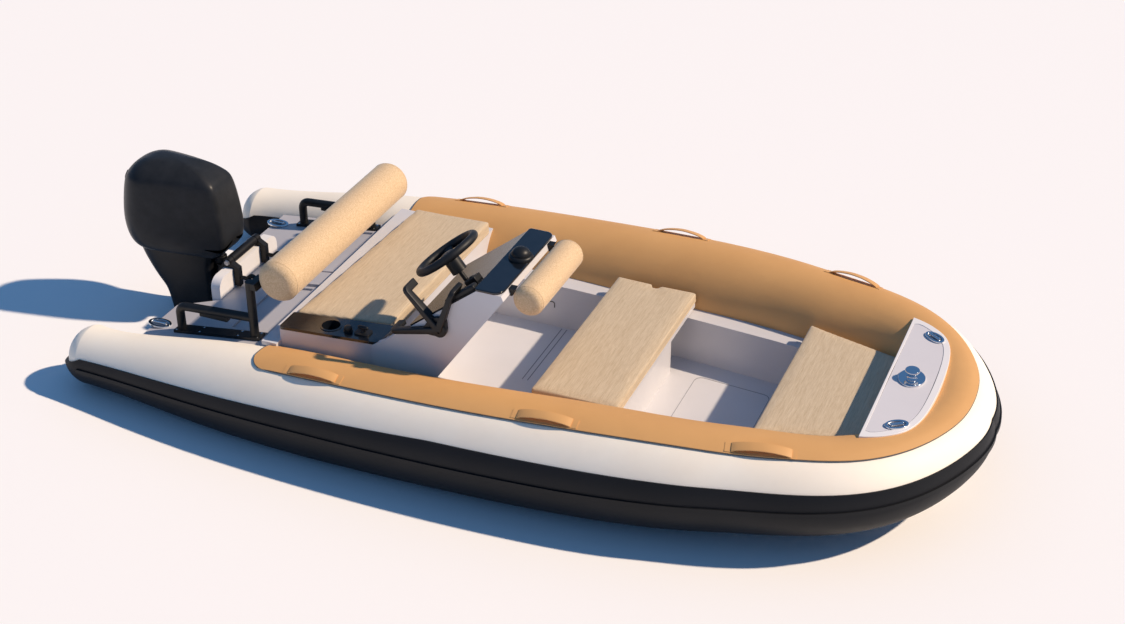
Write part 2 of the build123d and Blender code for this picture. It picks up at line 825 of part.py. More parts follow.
# ---------------------------------------------------------------- rails
def rail(side):
    y = side * RAIL_Y
    aft_foot = (RAIL_AFT_X, y, deck_z(RAIL_AFT_X))
    fore_foot = (RAIL_FORE_X, y, deck_z(RAIL_FORE_X))
    with BuildPart() as tube:
        with BuildLine():
            FilletPolyline(
                aft_foot,
                (RAIL_AFT_X, y, RAIL_TOP_Z),
                (RAIL_FORE_X, y, RAIL_TOP_Z + 22),
                radius=32,
            )
        with BuildSketch(Plane(origin=aft_foot, z_dir=(0, 0, 1))):
            Circle(RAIL_RADIUS)
        sweep()
        with BuildSketch(Plane(origin=fore_foot, z_dir=(0, 0, 1))):
            Circle(RAIL_RADIUS)
        extrude(amount=RAIL_POST_TOP_Z - fore_foot[2])
        add(
            prism_xz(
                (
                    (RAIL_AFT_X - 25, deck_z(RAIL_AFT_X - 25)),
                    (RAIL_FORE_X + 30, deck_z(RAIL_FORE_X + 30)),
                    (RAIL_FORE_X + 30, deck_z(RAIL_FORE_X + 30) + 12),
                    (RAIL_AFT_X - 25, deck_z(RAIL_AFT_X - 25) + 12),
                ),
                y - 24,
                y + 24,
            )
        )
        add(slab(RAIL_AFT_X + 95, RAIL_AFT_X + 215, y - 12, y + 12, RAIL_TOP_Z - 18, RAIL_TOP_Z + 4))
        arm_y = sorted((side * (RAIL_Y - BOLSTER_ARM_WIDTH), side * (RAIL_Y + 14)))
        add(slab(RAIL_FORE_X, BOLSTER_X, *arm_y, BOLSTER_Z - 40, BOLSTER_Z - 14))
        with BuildSketch(Plane(origin=(BOLSTER_X, -700, BOLSTER_Z), x_dir=(1, 0, 0), z_dir=(0, 1, 0))):
            Circle(BOLSTER_RADIUS + SOFT_GAP)
        extrude(amount=1400, mode=Mode.SUBTRACT)
        add(aft_deck.part, mode=Mode.SUBTRACT)
        add(pad_ring, mode=Mode.SUBTRACT)
    return tube.part


save(rail(-1), "rail_starboard")
save(rail(1), "rail_port")

# ---------------------------------------------------------------- deck fittings
BOLLARD_AT = (3085, 0)
with BuildPart() as bow_bollard:
    with BuildSketch(Plane.XY.offset(BOW_DECK_Z)):
        with Locations(BOLLARD_AT):
            Ellipse(34, 62)
    extrude(amount=9)
    with BuildSketch(Plane.XY.offset(BOW_DECK_Z + 9)):
        with Locations(BOLLARD_AT):
            Circle(15)
    extrude(amount=30)
    with BuildSketch(Plane.XY.offset(BOW_DECK_Z + 39)):
        with Locations(BOLLARD_AT):
            Circle(25)
    extrude(amount=9)
    fillet(bow_bollard.edges().group_by(Axis.Z)[-1], radius=4)
save(bow_bollard.part, "bow_bollard")

with BuildPart() as bow_cleats:
    with BuildSketch(Plane.XY.offset(BOW_DECK_Z)):
        with Locations(Location((3072, -300), -35), Location((3072, 300), 35)):
            Ellipse(30, 52)
    extrude(amount=8)
save(bow_cleats.part, "bow_cleats")

with BuildPart() as stern_cleats:
    for side in (-1, 1):
        x = 262
        add(
            prism_xz(
                ((x - 22, deck_z(x - 22)), (x + 22, deck_z(x + 22)), (x + 22, deck_z(x) + 13), (x - 22, deck_z(x) + 11)),
                side * 440 - 28,
                side * 440 + 28,
            )
        )
save(stern_cleats.part, "stern_cleats")

# ---------------------------------------------------------------- outboard motor
ARM_Y0 = 88
ARM_Y1 = 112
HOOK_LIP = 26
EAR_RADIUS = 18
BARREL_RADIUS = 18
ARM_LOW_Z = 130
with BuildPart() as clamp_bracket:
    for y0 in (ARM_Y0, -ARM_Y1):
        add(
            prism_xz(
                (
                    (BOARD_X - 30, ARM_LOW_Z),
                    (BOARD_X, ARM_LOW_Z),
                    (BOARD_X, BOARD_TOP_Z),
                    (BOARD_X + BOARD_THICKNESS, BOARD_TOP_Z),
                    (BOARD_X + BOARD_THICKNESS, BOARD_TOP_Z - 75),
                    (BOARD_X + BOARD_THICKNESS + HOOK_LIP, BOARD_TOP_Z - 75),
                    (BOARD_X + BOARD_THICKNESS + HOOK_LIP, BOARD_TOP_Z + 6),
                    (TILT_X + EAR_RADIUS, TILT_Z),
                    (TILT_X - EAR_RADIUS, TILT_Z),
                    (BOARD_X - 30, BOARD_TOP_Z - 20),
                ),
                y0,
                y0 + ARM_Y1 - ARM_Y0,
            )
        )
        with BuildSketch(Plane.XZ.offset(-y0)):
            with Locations((TILT_X, TILT_Z)):
                Circle(EAR_RADIUS)
        extrude(amount=ARM_Y0 - ARM_Y1)
    with BuildSketch(Plane.XZ.offset(-ARM_Y1)):
        with Locations((TILT_X, TILT_Z)):
            Circle(SHAFT_RADIUS)
    extrude(amount=2 * ARM_Y1)
save(clamp_bracket.part, "clamp_bracket")

SCREW_DROP = 45
SCREW_LENGTH = 34
HANDLE_BAR = 12
with BuildPart() as clamp_screws:
    for y in (-(ARM_Y0 + ARM_Y1) / 2, (ARM_Y0 + ARM_Y1) / 2):
        screw_x = BOARD_X + BOARD_THICKNESS + HOOK_LIP
        with BuildSketch(Plane.YZ.offset(screw_x)):
            with Locations((y, BOARD_TOP_Z - SCREW_DROP)):
                Circle(9)
        extrude(amount=SCREW_LENGTH)
        add(
            slab(
                screw_x + SCREW_LENGTH - HANDLE_BAR,
                screw_x + SCREW_LENGTH,
                y - 10,
                y + 10,
                BOARD_TOP_Z - 66,
                BOARD_TOP_Z - 12,
            )
        )
save(clamp_screws.part, "clamp_screws")

SWIVEL_TOP = 246
SWIVEL_LOW = 75
SWIVEL_RADIUS = 25
SWIVEL_HALF = ARM_Y0 - 3
with BuildPart() as swivel_bracket:
    with BuildSketch(Plane.XY.offset(SWIVEL_LOW)):
        with Locations((STEER_X, 0)):
            Circle(SWIVEL_RADIUS)
    extrude(amount=SWIVEL_TOP - SWIVEL_LOW)
    add(
        prism_xz(
            (
                (STEER_X, 150),
                (BOARD_X - 12, 200),
                (BOARD_X - 12, BOARD_TOP_Z + 8),
                (TILT_X, BOARD_TOP_Z + 8),
                (TILT_X, TILT_Z + BARREL_RADIUS - 2),
                (BOARD_X - 42, BOARD_TOP_Z - 6),
                (BOARD_X - 42, SWIVEL_TOP),
                (STEER_X, SWIVEL_TOP),
            ),
            -SWIVEL_RADIUS + 3,
            SWIVEL_RADIUS - 3,
        )
    )
    with BuildSketch(Plane.XZ.offset(-SWIVEL_HALF)):
        with Locations((TILT_X, TILT_Z)):
            Circle(BARREL_RADIUS)
    extrude(amount=2 * SWIVEL_HALF)
    with BuildSketch(Plane.XZ.offset(-SWIVEL_HALF)):
        with Locations((TILT_X, TILT_Z)):
            Circle(SHAFT_RADIUS + RUNNING)
    extrude(amount=2 * SWIVEL_HALF, mode=Mode.SUBTRACT)
    with BuildSketch(Plane.XY.offset(SWIVEL_LOW)):
        with Locations((STEER_X, 0)):
            Circle(SHAFT_RADIUS + RUNNING)
    extrude(amount=SWIVEL_TOP - SWIVEL_LOW, mode=Mode.SUBTRACT)
save(swivel_bracket.part, "swivel_bracket")


def plan_oval(x0, x1, aft_half, fore_half, aft_corner, fore_corner, z):
    """A level section that narrows forward, with corners of two radii, aft and forward."""
    with BuildSketch(Plane.XY.offset(z)) as section:
        with BuildLine():
            Polyline((x0, -aft_half), (x1, -fore_half), (x1, fore_half), (x0, aft_half), close=True)
        make_face()
        fillet(section.vertices().group_by(Axis.X)[0], radius=aft_corner)
        fillet(section.vertices().group_by(Axis.X)[-1], radius=fore_corner)
    return section.sketch


COWL_FLOOR_Z = 300
COWL_TOP_Z = 692
# Cowl sections: z, aft x, fore x, aft half width, fore half width, aft corner, fore corner
COWL_SECTIONS = (
    (COWL_FLOOR_Z, -95, 270, 118, 75, 100, 40),
    (345, -130, 338, 152, 84, 115, 45),
    (430, -136, 345, 165, 85, 118, 45),
    (560, -118, 325, 158, 80, 115, 45),
    (625, -92, 290, 138, 66, 105, 40),
    (668, -50, 228, 102, 48, 80, 30),
    (COWL_TOP_Z, 10, 160, 52, 25, 40, 20),
)
COWL_WALL = 5
with BuildPart() as cowl_form:
    for z, *section in COWL_SECTIONS:
        add(plan_oval(*section, z))
    loft(ruled=True)
with BuildPart() as cowl_space:
    for z, x0, x1, *section in COWL_SECTIONS:
        rise = COWL_WALL if z == COWL_FLOOR_Z else (-COWL_WALL if z == COWL_TOP_Z else 0)
        inner = [size - COWL_WALL for size in section]
        add(plan_oval(x0 + COWL_WALL, x1 - COWL_WALL, *inner, z + rise))
    loft(ruled=True)
with BuildPart() as cowl:
    add(cowl_form.part)
    add(cowl_space.part, mode=Mode.SUBTRACT)
save(cowl.part, "cowl")

with BuildPart() as powerhead:
    add(slab(-20, 200, -70, 70, COWL_FLOOR_Z + COWL_WALL, 590))
save(powerhead.part, "powerhead")

YOKE_RADIUS = 22
YOKE_GAP = 3
# Leg sections: z, aft x, fore x, aft half width, fore half width, aft corner, fore corner
LEG_SECTIONS = (
    (COWL_FLOOR_Z, -88, 254, 110, 68, 90, 34),
    (235, -84, 244, 98, 64, 80, 32),
    (160, -46, 240, 74, 56, 56, 26),
    (85, 6, 236, 54, 50, 40, 22),
    (-90, 30, 222, 45, 43, 32, 18),
)
with BuildPart() as midsection:
    for z, *section in LEG_SECTIONS:
        add(plan_oval(*section, z))
    loft(ruled=True)
    for z0, z1 in ((SWIVEL_TOP + YOKE_GAP, SWIVEL_TOP + YOKE_GAP + 30), (SWIVEL_LOW - 22, SWIVEL_LOW - YOKE_GAP)):
        add(slab(150, STEER_X, -YOKE_RADIUS, YOKE_RADIUS, z0, z1))
        with BuildSketch(Plane.XY.offset(z0)):
            with Locations((STEER_X, 0)):
                Circle(YOKE_RADIUS)
        extrude(amount=z1 - z0)
    with BuildSketch(Plane.XY.offset(SWIVEL_LOW - YOKE_GAP)):
        with Locations((STEER_X, 0)):
            Circle(SHAFT_RADIUS)
    extrude(amount=SWIVEL_TOP + 2 * YOKE_GAP - SWIVEL_LOW)
    with BuildSketch(Plane.XY.offset(SWIVEL_LOW - YOKE_GAP)):
        with Locations((STEER_X, 0)):
            Circle(SWIVEL_RADIUS + 4)
            Circle(SHAFT_RADIUS, mode=Mode.SUBTRACT)
    extrude(amount=SWIVEL_TOP + 2 * YOKE_GAP - SWIVEL_LOW, mode=Mode.SUBTRACT)
save(midsection.part, "midsection")

PLATE_Z = -100
PLATE_THICKNESS = 10
GEARCASE_RADIUS = 40
HUB_CLEAR = 3
PROP_HUB_LENGTH = 78
PROP_HUB_RADIUS = 33
with BuildPart() as lower_unit:
    with BuildSketch(Plane.XY.offset(PLATE_Z)):
        with Locations((85, 0)):
            Ellipse(150, 88)
    extrude(amount=PLATE_THICKNESS)
    add(plan_oval(40, 215, 32, 32, 26, 26, PLATE_Z + 2))
    add(plan_oval(20, 190, 24, 24, 19, 19, PROP_Z))
    loft(ruled=True)
    with BuildSketch(Plane.XZ):
        with BuildLine():
            Polyline(
                (PROP_FACE_X, PROP_Z),
                (PROP_FACE_X, PROP_Z + 34),
                (60, PROP_Z + GEARCASE_RADIUS),
                (150, PROP_Z + 36),
                (205, PROP_Z + 22),
                (228, PROP_Z + 8),
                (228, PROP_Z),
                close=True,
            )
        make_face()
    revolve(axis=Axis((0, 0, PROP_Z), (1, 0, 0)))
    add(
        prism_xz(
            ((32, PROP_Z - 18), (168, PROP_Z - 18), (95, PROP_Z - 150), (40, PROP_Z - 150)),
            -5,
            5,
        )
    )
    with BuildSketch(Plane.YZ.offset(PROP_FACE_X)):
        with Locations((0, PROP_Z)):
            Circle(SHAFT_RADIUS)
    extrude(amount=-HUB_CLEAR - PROP_HUB_LENGTH)
save(lower_unit.part, "lower_unit")

with BuildPart() as propeller:
    with BuildSketch(Plane.YZ.offset(PROP_FACE_X - HUB_CLEAR)):
        with Locations((0, PROP_Z)):
            Circle(PROP_HUB_RADIUS)
    extrude(amount=-PROP_HUB_LENGTH)
    for index in range(3):
        blade_plane = Plane(origin=(-58, 0, PROP_Z), x_dir=(1, 0, 0), z_dir=(0, 0, 1)).rotated((120 * index, 0, 0))
        with BuildSketch(blade_plane.offset(20)):
            Rectangle(50, 8, rotation=28)
        with BuildSketch(blade_plane.offset(70)):
            Rectangle(74, 6, rotation=40)
        with BuildSketch(blade_plane.offset(PROP_RADIUS)):
            Rectangle(40, 4, rotation=50)
        loft()
    with BuildSketch(Plane.YZ.offset(PROP_FACE_X)):
        with Locations((0, PROP_Z)):
            Circle(SHAFT_RADIUS + RUNNING)
    extrude(amount=-HUB_CLEAR - PROP_HUB_LENGTH, mode=Mode.SUBTRACT)
save(propeller.part, "propeller")
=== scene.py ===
"""Looks of the rigid inflatable boat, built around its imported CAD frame."""
import json
from math import acos, atan2, cos, pi, radians, sin, tan

import bmesh
import bpy
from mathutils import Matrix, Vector
from mathutils.bvhtree import BVHTree


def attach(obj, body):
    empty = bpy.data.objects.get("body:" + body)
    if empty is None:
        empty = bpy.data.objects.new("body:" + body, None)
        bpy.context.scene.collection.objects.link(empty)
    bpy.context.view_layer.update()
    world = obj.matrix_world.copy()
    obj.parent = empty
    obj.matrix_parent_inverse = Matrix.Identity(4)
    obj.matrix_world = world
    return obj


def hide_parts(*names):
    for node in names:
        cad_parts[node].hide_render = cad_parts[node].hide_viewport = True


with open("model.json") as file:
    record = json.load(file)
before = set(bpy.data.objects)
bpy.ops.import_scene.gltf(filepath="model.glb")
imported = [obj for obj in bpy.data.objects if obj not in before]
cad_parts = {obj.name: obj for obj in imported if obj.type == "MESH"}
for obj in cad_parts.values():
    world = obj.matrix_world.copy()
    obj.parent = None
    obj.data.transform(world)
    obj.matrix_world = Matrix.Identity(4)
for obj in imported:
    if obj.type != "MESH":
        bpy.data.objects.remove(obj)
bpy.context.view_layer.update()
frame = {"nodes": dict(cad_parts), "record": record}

LINK = bpy.context.scene.collection.objects.link

# ---- camera and light
IMAGE_WIDTH_PX = 1125
FOCAL_PX = 1715
SENSOR_MM = 36.0
CAMERA_AT = Vector((3.87, -5.04, 3.68))
VIEW_AZIMUTH = radians(22.7)
VIEW_ELEVATION = radians(31.3)
FAR_CLIP_M = 100
SUN_TRAVEL = Vector((-0.30, -0.10, -0.285))
SUN_ENERGY = 4.5
SUN_ANGLE = radians(1.6)
SUN_COLOUR = (1.0, 0.81, 0.62)
SKY_COLOUR = (0.22, 0.50, 1.0)
SKY_STRENGTH = 0.36
FLOOR_HALF_M = 30


def make_camera():
    data = bpy.data.cameras.new("camera")
    data.sensor_width = SENSOR_MM
    data.lens = FOCAL_PX / IMAGE_WIDTH_PX * SENSOR_MM
    data.clip_end = FAR_CLIP_M
    camera = bpy.data.objects.new("camera", data)
    LINK(camera)
    level = cos(VIEW_ELEVATION)
    back = Vector((sin(VIEW_AZIMUTH) * level, -cos(VIEW_AZIMUTH) * level, sin(VIEW_ELEVATION)))
    camera.location = CAMERA_AT
    camera.rotation_mode = "QUATERNION"
    camera.rotation_quaternion = (-back).to_track_quat("-Z", "Y")
    bpy.context.scene.camera = camera
    bpy.context.scene.view_settings.view_transform = "Standard"


def make_sun():
    data = bpy.data.lights.new("sun", "SUN")
    data.energy = SUN_ENERGY
    data.angle = SUN_ANGLE
    data.color = SUN_COLOUR
    sun = bpy.data.objects.new("sun", data)
    LINK(sun)
    sun.rotation_mode = "QUATERNION"
    sun.rotation_quaternion = SUN_TRAVEL.to_track_quat("-Z", "Y")


def make_world():
    world = bpy.data.worlds.new("studio")
    bpy.context.scene.world = world
    world.use_nodes = True
    background = world.node_tree.nodes["Background"]
    background.inputs["Color"].default_value = (*SKY_COLOUR, 1)
    background.inputs["Strength"].default_value = SKY_STRENGTH


def make_floor():
    mesh = bpy.data.meshes.new("floor")
    corners = [(x * FLOOR_HALF_M, y * FLOOR_HALF_M, 0) for x, y in ((-1, -1), (1, -1), (1, 1), (-1, 1))]
    mesh.from_pydata(corners, [], [(0, 1, 2, 3)])
    floor = bpy.data.objects.new("floor", mesh)
    LINK(floor)
    floor.data.materials.append(make_material("floor_paint", plain, (0.95, 0.95, 0.95), 0.9))


# ---- materials
def set_inputs(tree, node, values):
    """Sets the named inputs of a node, or links those whose value is another node's output."""
    for name, value in values.items():
        if isinstance(value, bpy.types.NodeSocket):
            tree.links.new(value, node.inputs[name])
        else:
            node.inputs[name].default_value = value


def add_node(tree, kind, values):
    node = tree.nodes.new(f"ShaderNode{kind}")
    set_inputs(tree, node, values)
    return node


def make_material(name, kind, *values):
    """A material whose shader inputs are those that its kind gives for its node tree."""
    material = bpy.data.materials.new(name)
    material.use_nodes = True
    tree = material.node_tree
    set_inputs(tree, tree.nodes["Principled BSDF"], kind(tree, *values))
    return material


def plain(_tree, colour, roughness, specular=0.5):
    return {"Base Color": (*colour, 1), "Roughness": roughness, "Specular IOR Level": specular}


def object_point(tree, scale=(1, 1, 1)):
    """Texture point: the row frame's coordinates in metres, scaled along each axis."""
    coordinates = add_node(tree, "TexCoord", {}).outputs["Object"]
    return add_node(tree, "Mapping", {"Scale": scale, "Vector": coordinates}).outputs["Vector"]


def noise(tree, point, scale, detail=3.0, roughness=0.55):
    values = {"Scale": scale, "Detail": detail, "Roughness": roughness, "Vector": point}
    return add_node(tree, "TexNoise", values).outputs["Fac"]


def ramp(tree, value, stops):
    node = add_node(tree, "ValToRGB", {"Fac": value})
    elements = node.color_ramp.elements
    while len(elements) < len(stops):
        elements.new(0.5)
    for element, (place, colour) in zip(elements, stops):
        element.position = place
        element.color = (*colour, 1)
    return node.outputs["Color"]


def span(tree, value, low, high):
    """Maps a 0 to 1 value onto a range."""
    return add_node(tree, "MapRange", {"To Min": low, "To Max": high, "Value": value}).outputs["Result"]


def blend_values(tree, first, second, share):
    """A mix of two plain values; the mix node's value inputs are its second and third."""
    node = tree.nodes.new("ShaderNodeMix")
    node.data_type = "FLOAT"
    set_inputs(tree, node, {"Factor": share, 2: first, 3: second})
    return node.outputs[0]


def bump(tree, height, strength, distance):
    values = {"Strength": strength, "Distance": distance, "Height": height}
    return add_node(tree, "Bump", values).outputs["Normal"]


def coated_fabric(tree, dark, light, rough_low, rough_high, specular=0.5):
    """Rubber coated tube fabric: a faint woven base, mottled colour and uneven sheen."""
    point = object_point(tree)
    grain = blend_values(tree, noise(tree, point, 900, 2), noise(tree, point, 160, 3), 0.35)
    return {
        "Base Color": ramp(tree, noise(tree, point, 3.5, 5), ((0.3, dark), (0.7, light))),
        "Roughness": span(tree, noise(tree, point, 14, 4), rough_low, rough_high),
        "Normal": bump(tree, grain, 0.2, 0.0005),
        "Specular IOR Level": specular,
    }


def gelcoat(tree, dark, light, roughness):
    """Sprayed moulding: almost flat colour with a slight waviness and dull patches."""
    point = object_point(tree)
    return {
        "Base Color": ramp(tree, noise(tree, point, 2.2, 4), ((0.3, dark), (0.72, light))),
        "Roughness": span(tree, noise(tree, point, 9, 4), roughness, roughness + 0.14),
        "Normal": bump(tree, noise(tree, point, 26, 2), 0.05, 0.0012),
        "Coat Weight": 0.2,
        "Coat Roughness": 0.12,
    }


def weave(tree, thread_scale, dark, middle, light):
    """Synthetic woven upholstery: long slubs across the boat over fine cross threads."""
    slubs = noise(tree, object_point(tree, thread_scale), 1.0, 4, 0.6)
    broad = noise(tree, object_point(tree, (150, 7, 150)), 1.0, 3, 0.6)
    fine = noise(tree, object_point(tree, (1500, 420, 1500)), 1.0, 2, 0.5)
    mixed = blend_values(tree, blend_values(tree, slubs, broad, 0.4), fine, 0.25)
    return {
        "Base Color": ramp(tree, mixed, ((0.36, dark), (0.5, middle), (0.64, light))),
        "Roughness": span(tree, fine, 0.66, 0.88),
        "Normal": bump(tree, mixed, 0.5, 0.0010),
        "Sheen Weight": 0.12,
        "Sheen Roughness": 0.5,
    }


def boucle(tree, dark, middle, light):
    """Looped bolster fabric: mottled at the size of its loops."""
    point = object_point(tree)
    fine = noise(tree, point, 620, 2, 0.5)
    mixed = blend_values(tree, noise(tree, point, 190, 3, 0.6), fine, 0.4)
    return {
        "Base Color": ramp(tree, mixed, ((0.33, dark), (0.5, middle), (0.68, light))),
        "Roughness": span(tree, fine, 0.7, 0.92),
        "Normal": bump(tree, mixed, 0.7, 0.0022),
        "Sheen Weight": 0.2,
        "Sheen Roughness": 0.5,
    }


def painted(tree, dark, light, rough_low, rough_high, grain_scale, grain_depth, coat=0.0, specular=0.5):
    """Painted or moulded hard part: fine grain, uneven roughness and slightly worn tone."""
    point = object_point(tree)
    return {
        "Base Color": ramp(tree, noise(tree, point, 22, 5), ((0.32, dark), (0.72, light))),
        "Roughness": span(tree, noise(tree, point, 45, 4), rough_low, rough_high),
        "Normal": bump(tree, noise(tree, point, grain_scale, 2), 0.2, grain_depth),
        "Coat Weight": coat,
        "Coat Roughness": 0.08,
        "Specular IOR Level": specular,
    }


def metal(tree, colour, rough_low, rough_high, grain_scale):
    point = object_point(tree)
    return {
        "Base Color": (*colour, 1),
        "Metallic": 1.0,
        "Roughness": span(tree, noise(tree, point, grain_scale, 4), rough_low, rough_high),
        "Normal": bump(tree, noise(tree, point, grain_scale * 3, 2), 0.05, 0.0004),
    }


# Each slot of the record: how it is made, then its colours from dark to light, roughness and grain
MATERIAL_ROWS = (
    ("black_hypalon", coated_fabric, (0.005, 0.006, 0.008), (0.009, 0.010, 0.013), 0.46, 0.6, 0.24),
    ("cream_hypalon", coated_fabric, (0.98, 0.89, 0.75), (1.0, 0.94, 0.82), 0.50, 0.64),
    ("tan_pad", coated_fabric, (0.66, 0.355, 0.128), (0.72, 0.40, 0.15), 0.50, 0.64),
    ("black_rubber", coated_fabric, (0.005, 0.006, 0.008), (0.010, 0.011, 0.013), 0.42, 0.58, 0.24),
    ("white_gelcoat", gelcoat, (0.83, 0.81, 0.81), (0.88, 0.86, 0.86), 0.32),
    ("cushion_weave", weave, (520, 26, 520), (0.46, 0.35, 0.22), (0.58, 0.46, 0.31), (0.68, 0.56, 0.40)),
    ("bolster_fabric", boucle, (0.54, 0.37, 0.20), (0.68, 0.49, 0.29), (0.80, 0.62, 0.40)),
    ("gloss_black", painted, (0.006, 0.008, 0.012), (0.010, 0.013, 0.019), 0.10, 0.2, 300, 0.0002, 0.5),
    ("black_fitting", painted, (0.007, 0.008, 0.009), (0.014, 0.015, 0.017), 0.36, 0.5, 420, 0.0005, 0, 0.35),
    ("black_grip", painted, (0.009, 0.010, 0.012), (0.017, 0.019, 0.022), 0.44, 0.6, 700, 0.0008, 0, 0.35),
    ("chrome", metal, (0.72, 0.76, 0.80), 0.06, 0.16, 60),
    ("motor_black", painted, (0.006, 0.006, 0.007), (0.011, 0.011, 0.012), 0.38, 0.5, 260, 0.0006, 0, 0.3),
    ("cowl_charcoal", painted, (0.018, 0.020, 0.023), (0.026, 0.028, 0.032), 0.32, 0.4, 520, 0.0004, 0, 0.16),
    ("motor_metal", metal, (0.42, 0.42, 0.44), 0.3, 0.45, 80),
)
MATERIALS = {row[0]: make_material(*row) for row in MATERIAL_ROWS}
# Liner white: the deck's white gelcoat made darker, as painted shade for the cockpit liner, console and
# armrest walls, bench bases and the helm panel's wedge
LINER_WHITE_PAINTED_SHADE = make_material("liner_white_painted_shade", gelcoat, (0.63, 0.62, 0.64), (0.69, 0.68, 0.70), 0.34)
GREY_PANEL = make_material("grey_panel", gelcoat, (0.67, 0.65, 0.68), (0.72, 0.70, 0.73), 0.45)
# Tray grey: the deck trays' own grey, also laid on the whole aft deck, where it is painted shade for the
# deck's shaded parts
TRAY_GREY_AND_DECK_SHADE = make_material("tray_grey_and_deck_shade", gelcoat, (0.46, 0.45, 0.48), (0.52, 0.51, 0.54), 0.4)
HELM_TONES = ((0.006, 0.007, 0.009), (0.010, 0.011, 0.014))
HELM_GLOSS = make_material("helm_gloss", painted, *HELM_TONES, 0.2, 0.28, 300, 0.0002, 0, 0.12)
LINER_NODES = ("inner_liner", "console_shell", "armrest_wall", "mid_bench_base", "front_bench_base")
# Nodes that take a darker copy of their slot's material, with painted shade in its colour
PAINT_AND_SHADE_OVERRIDES = dict.fromkeys(LINER_NODES, LINER_WHITE_PAINTED_SHADE) | dict.fromkeys(("aft_deck", "deck_trays"), TRAY_GREY_AND_DECK_SHADE)
# Near-black painted shade: the shadowed gap along the pad's edge, the shade in the bow panel's groove and in
# the wall pull's recess
SHADE_DARK = make_material("painted_shade_dark", plain, (0.09, 0.085, 0.085), 0.7)
# Black with no reflection: painted shade for the shaded insides of the cowl's slot and port
HOLE_SHADE = make_material("painted_hole_shade", plain, (0.001, 0.001, 0.001), 0.9, 0.0)
JOINT_GREY = make_material("joint_grey", plain, (0.24, 0.24, 0.26), 0.6)


def paint_nodes():
    """Every CAD node takes the material of its slot in the record, except the liner and aft deck nodes, whose
    darker white and grey carry painted shade.
    """
    for part in frame["record"]["subparts"]:
        node = frame["nodes"][part["node"]]
        material = PAINT_AND_SHADE_OVERRIDES.get(part["node"], MATERIALS[part["material_slot"]])
        if not node.material_slots:
            node.data.materials.append(material)
        for place in node.material_slots:
            place.material = material


# ---- shape helpers
SIDES = ((1, "port"), (-1, "starboard"))
SHARP_ANGLE = radians(38)
BEVEL_ANGLE = radians(32)
BEVEL_SEGMENTS = 3
STRAIGHT_HALF_TURN = radians(89.5)
LEAST_RADIUS = 1e-5


def piece(name, verts, faces, body, slot, replaces=(), edge=0.0, levels=0, material=None):
    """One object of the visual model, with rounded edges or a subdivision where asked."""
    mesh = bpy.data.meshes.new(name)
    mesh.from_pydata([tuple(v) for v in verts], [], faces)
    work = bmesh.new()
    work.from_mesh(mesh)
    bmesh.ops.recalc_face_normals(work, faces=work.faces)
    work.to_mesh(mesh)
    work.free()
    made = bpy.data.objects.new(name, mesh)
    LINK(made)
    finish_piece(made, body, slot, replaces, material)
    if edge:
        rounding = made.modifiers.new("edge", "BEVEL")
        rounding.width = edge
        rounding.segments = BEVEL_SEGMENTS
        rounding.limit_method = "ANGLE"
        rounding.angle_limit = BEVEL_ANGLE
    if levels:
        subdivide(made, levels)
    return made


def joined_piece(name, parts, *settings, **options):
    """Several vertex and face lists as one object."""
    verts, faces = [], []
    for part_verts, part_faces in parts:
        start = len(verts)
        verts += list(part_verts)
        faces += [tuple(start + index for index in face) for face in part_faces]
    return piece(name, verts, faces, *settings, **options)


def subdivide(made, levels):
    smooth = made.modifiers.new("smooth", "SUBSURF")
    smooth.levels = levels
    smooth.render_levels = levels


def finish_piece(made, body, slot, replaces=(), material=None):
    mesh = made.data
    mesh.materials.clear()
    mesh.materials.append(material or MATERIALS[slot])
    mesh.polygons.foreach_set("use_smooth", [True] * len(mesh.polygons))
    mesh.set_sharp_from_angle(angle=SHARP_ANGLE)
    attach(made, body)
    if replaces:
        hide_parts(*replaces)


def rotated(x, y, angle):
    return Vector((x * cos(angle) - y * sin(angle), x * sin(angle) + y * cos(angle)))


def rounded(points, radii, steps=6):
    """A closed plan outline with each corner rounded by an arc of its own radius."""
    out = []
    for index, radius in enumerate(radii):
        corner = Vector(points[index])
        back = (Vector(points[index - 1]) - corner).normalized()
        ahead = (Vector(points[(index + 1) % len(points)]) - corner).normalized()
        half_turn = acos(max(-1.0, min(1.0, back.dot(ahead)))) / 2
        if radius <= 0 or half_turn > STRAIGHT_HALF_TURN:
            out.append(corner)
            continue
        reach = radius / tan(half_turn)
        centre = corner + (back + ahead).normalized() * (radius / sin(half_turn))
        start = corner + back * reach - centre
        end = corner + ahead * reach - centre
        turn = atan2(start.x * end.y - start.y * end.x, start.dot(end))
        out += [centre + rotated(start.x, start.y, turn * step / steps) for step in range(steps + 1)]
    return out


def loft(rings, closed=False):
    """Quads between rings of equal count; the ends are capped, or joined to each other if closed."""
    count = len(rings[0])
    total = len(rings) * count
    faces = []
    for low in range(0, total if closed else total - count, count):
        above = (low + count) % total
        for index in range(count):
            after = (index + 1) % count
            faces.append((low + index, low + after, above + after, above + index))
    if not closed:
        faces += [tuple(reversed(range(count))), tuple(range(total - count, total))]
    return [point for ring in rings for point in ring], faces


def plate(plan, z0, z1):
    """A flat plate of any plan outline."""
    return loft([[(p[0], p[1], z) for p in plan] for z in (z0, z1)])


def ring_plate(outer, inner, z0, z1):
    """A flat frame between two outlines with the same number of points."""
    edges = ((outer, z0), (outer, z1), (inner, z1), (inner, z0))
    return loft([[(p[0], p[1], z) for p in plan] for plan, z in edges], closed=True)


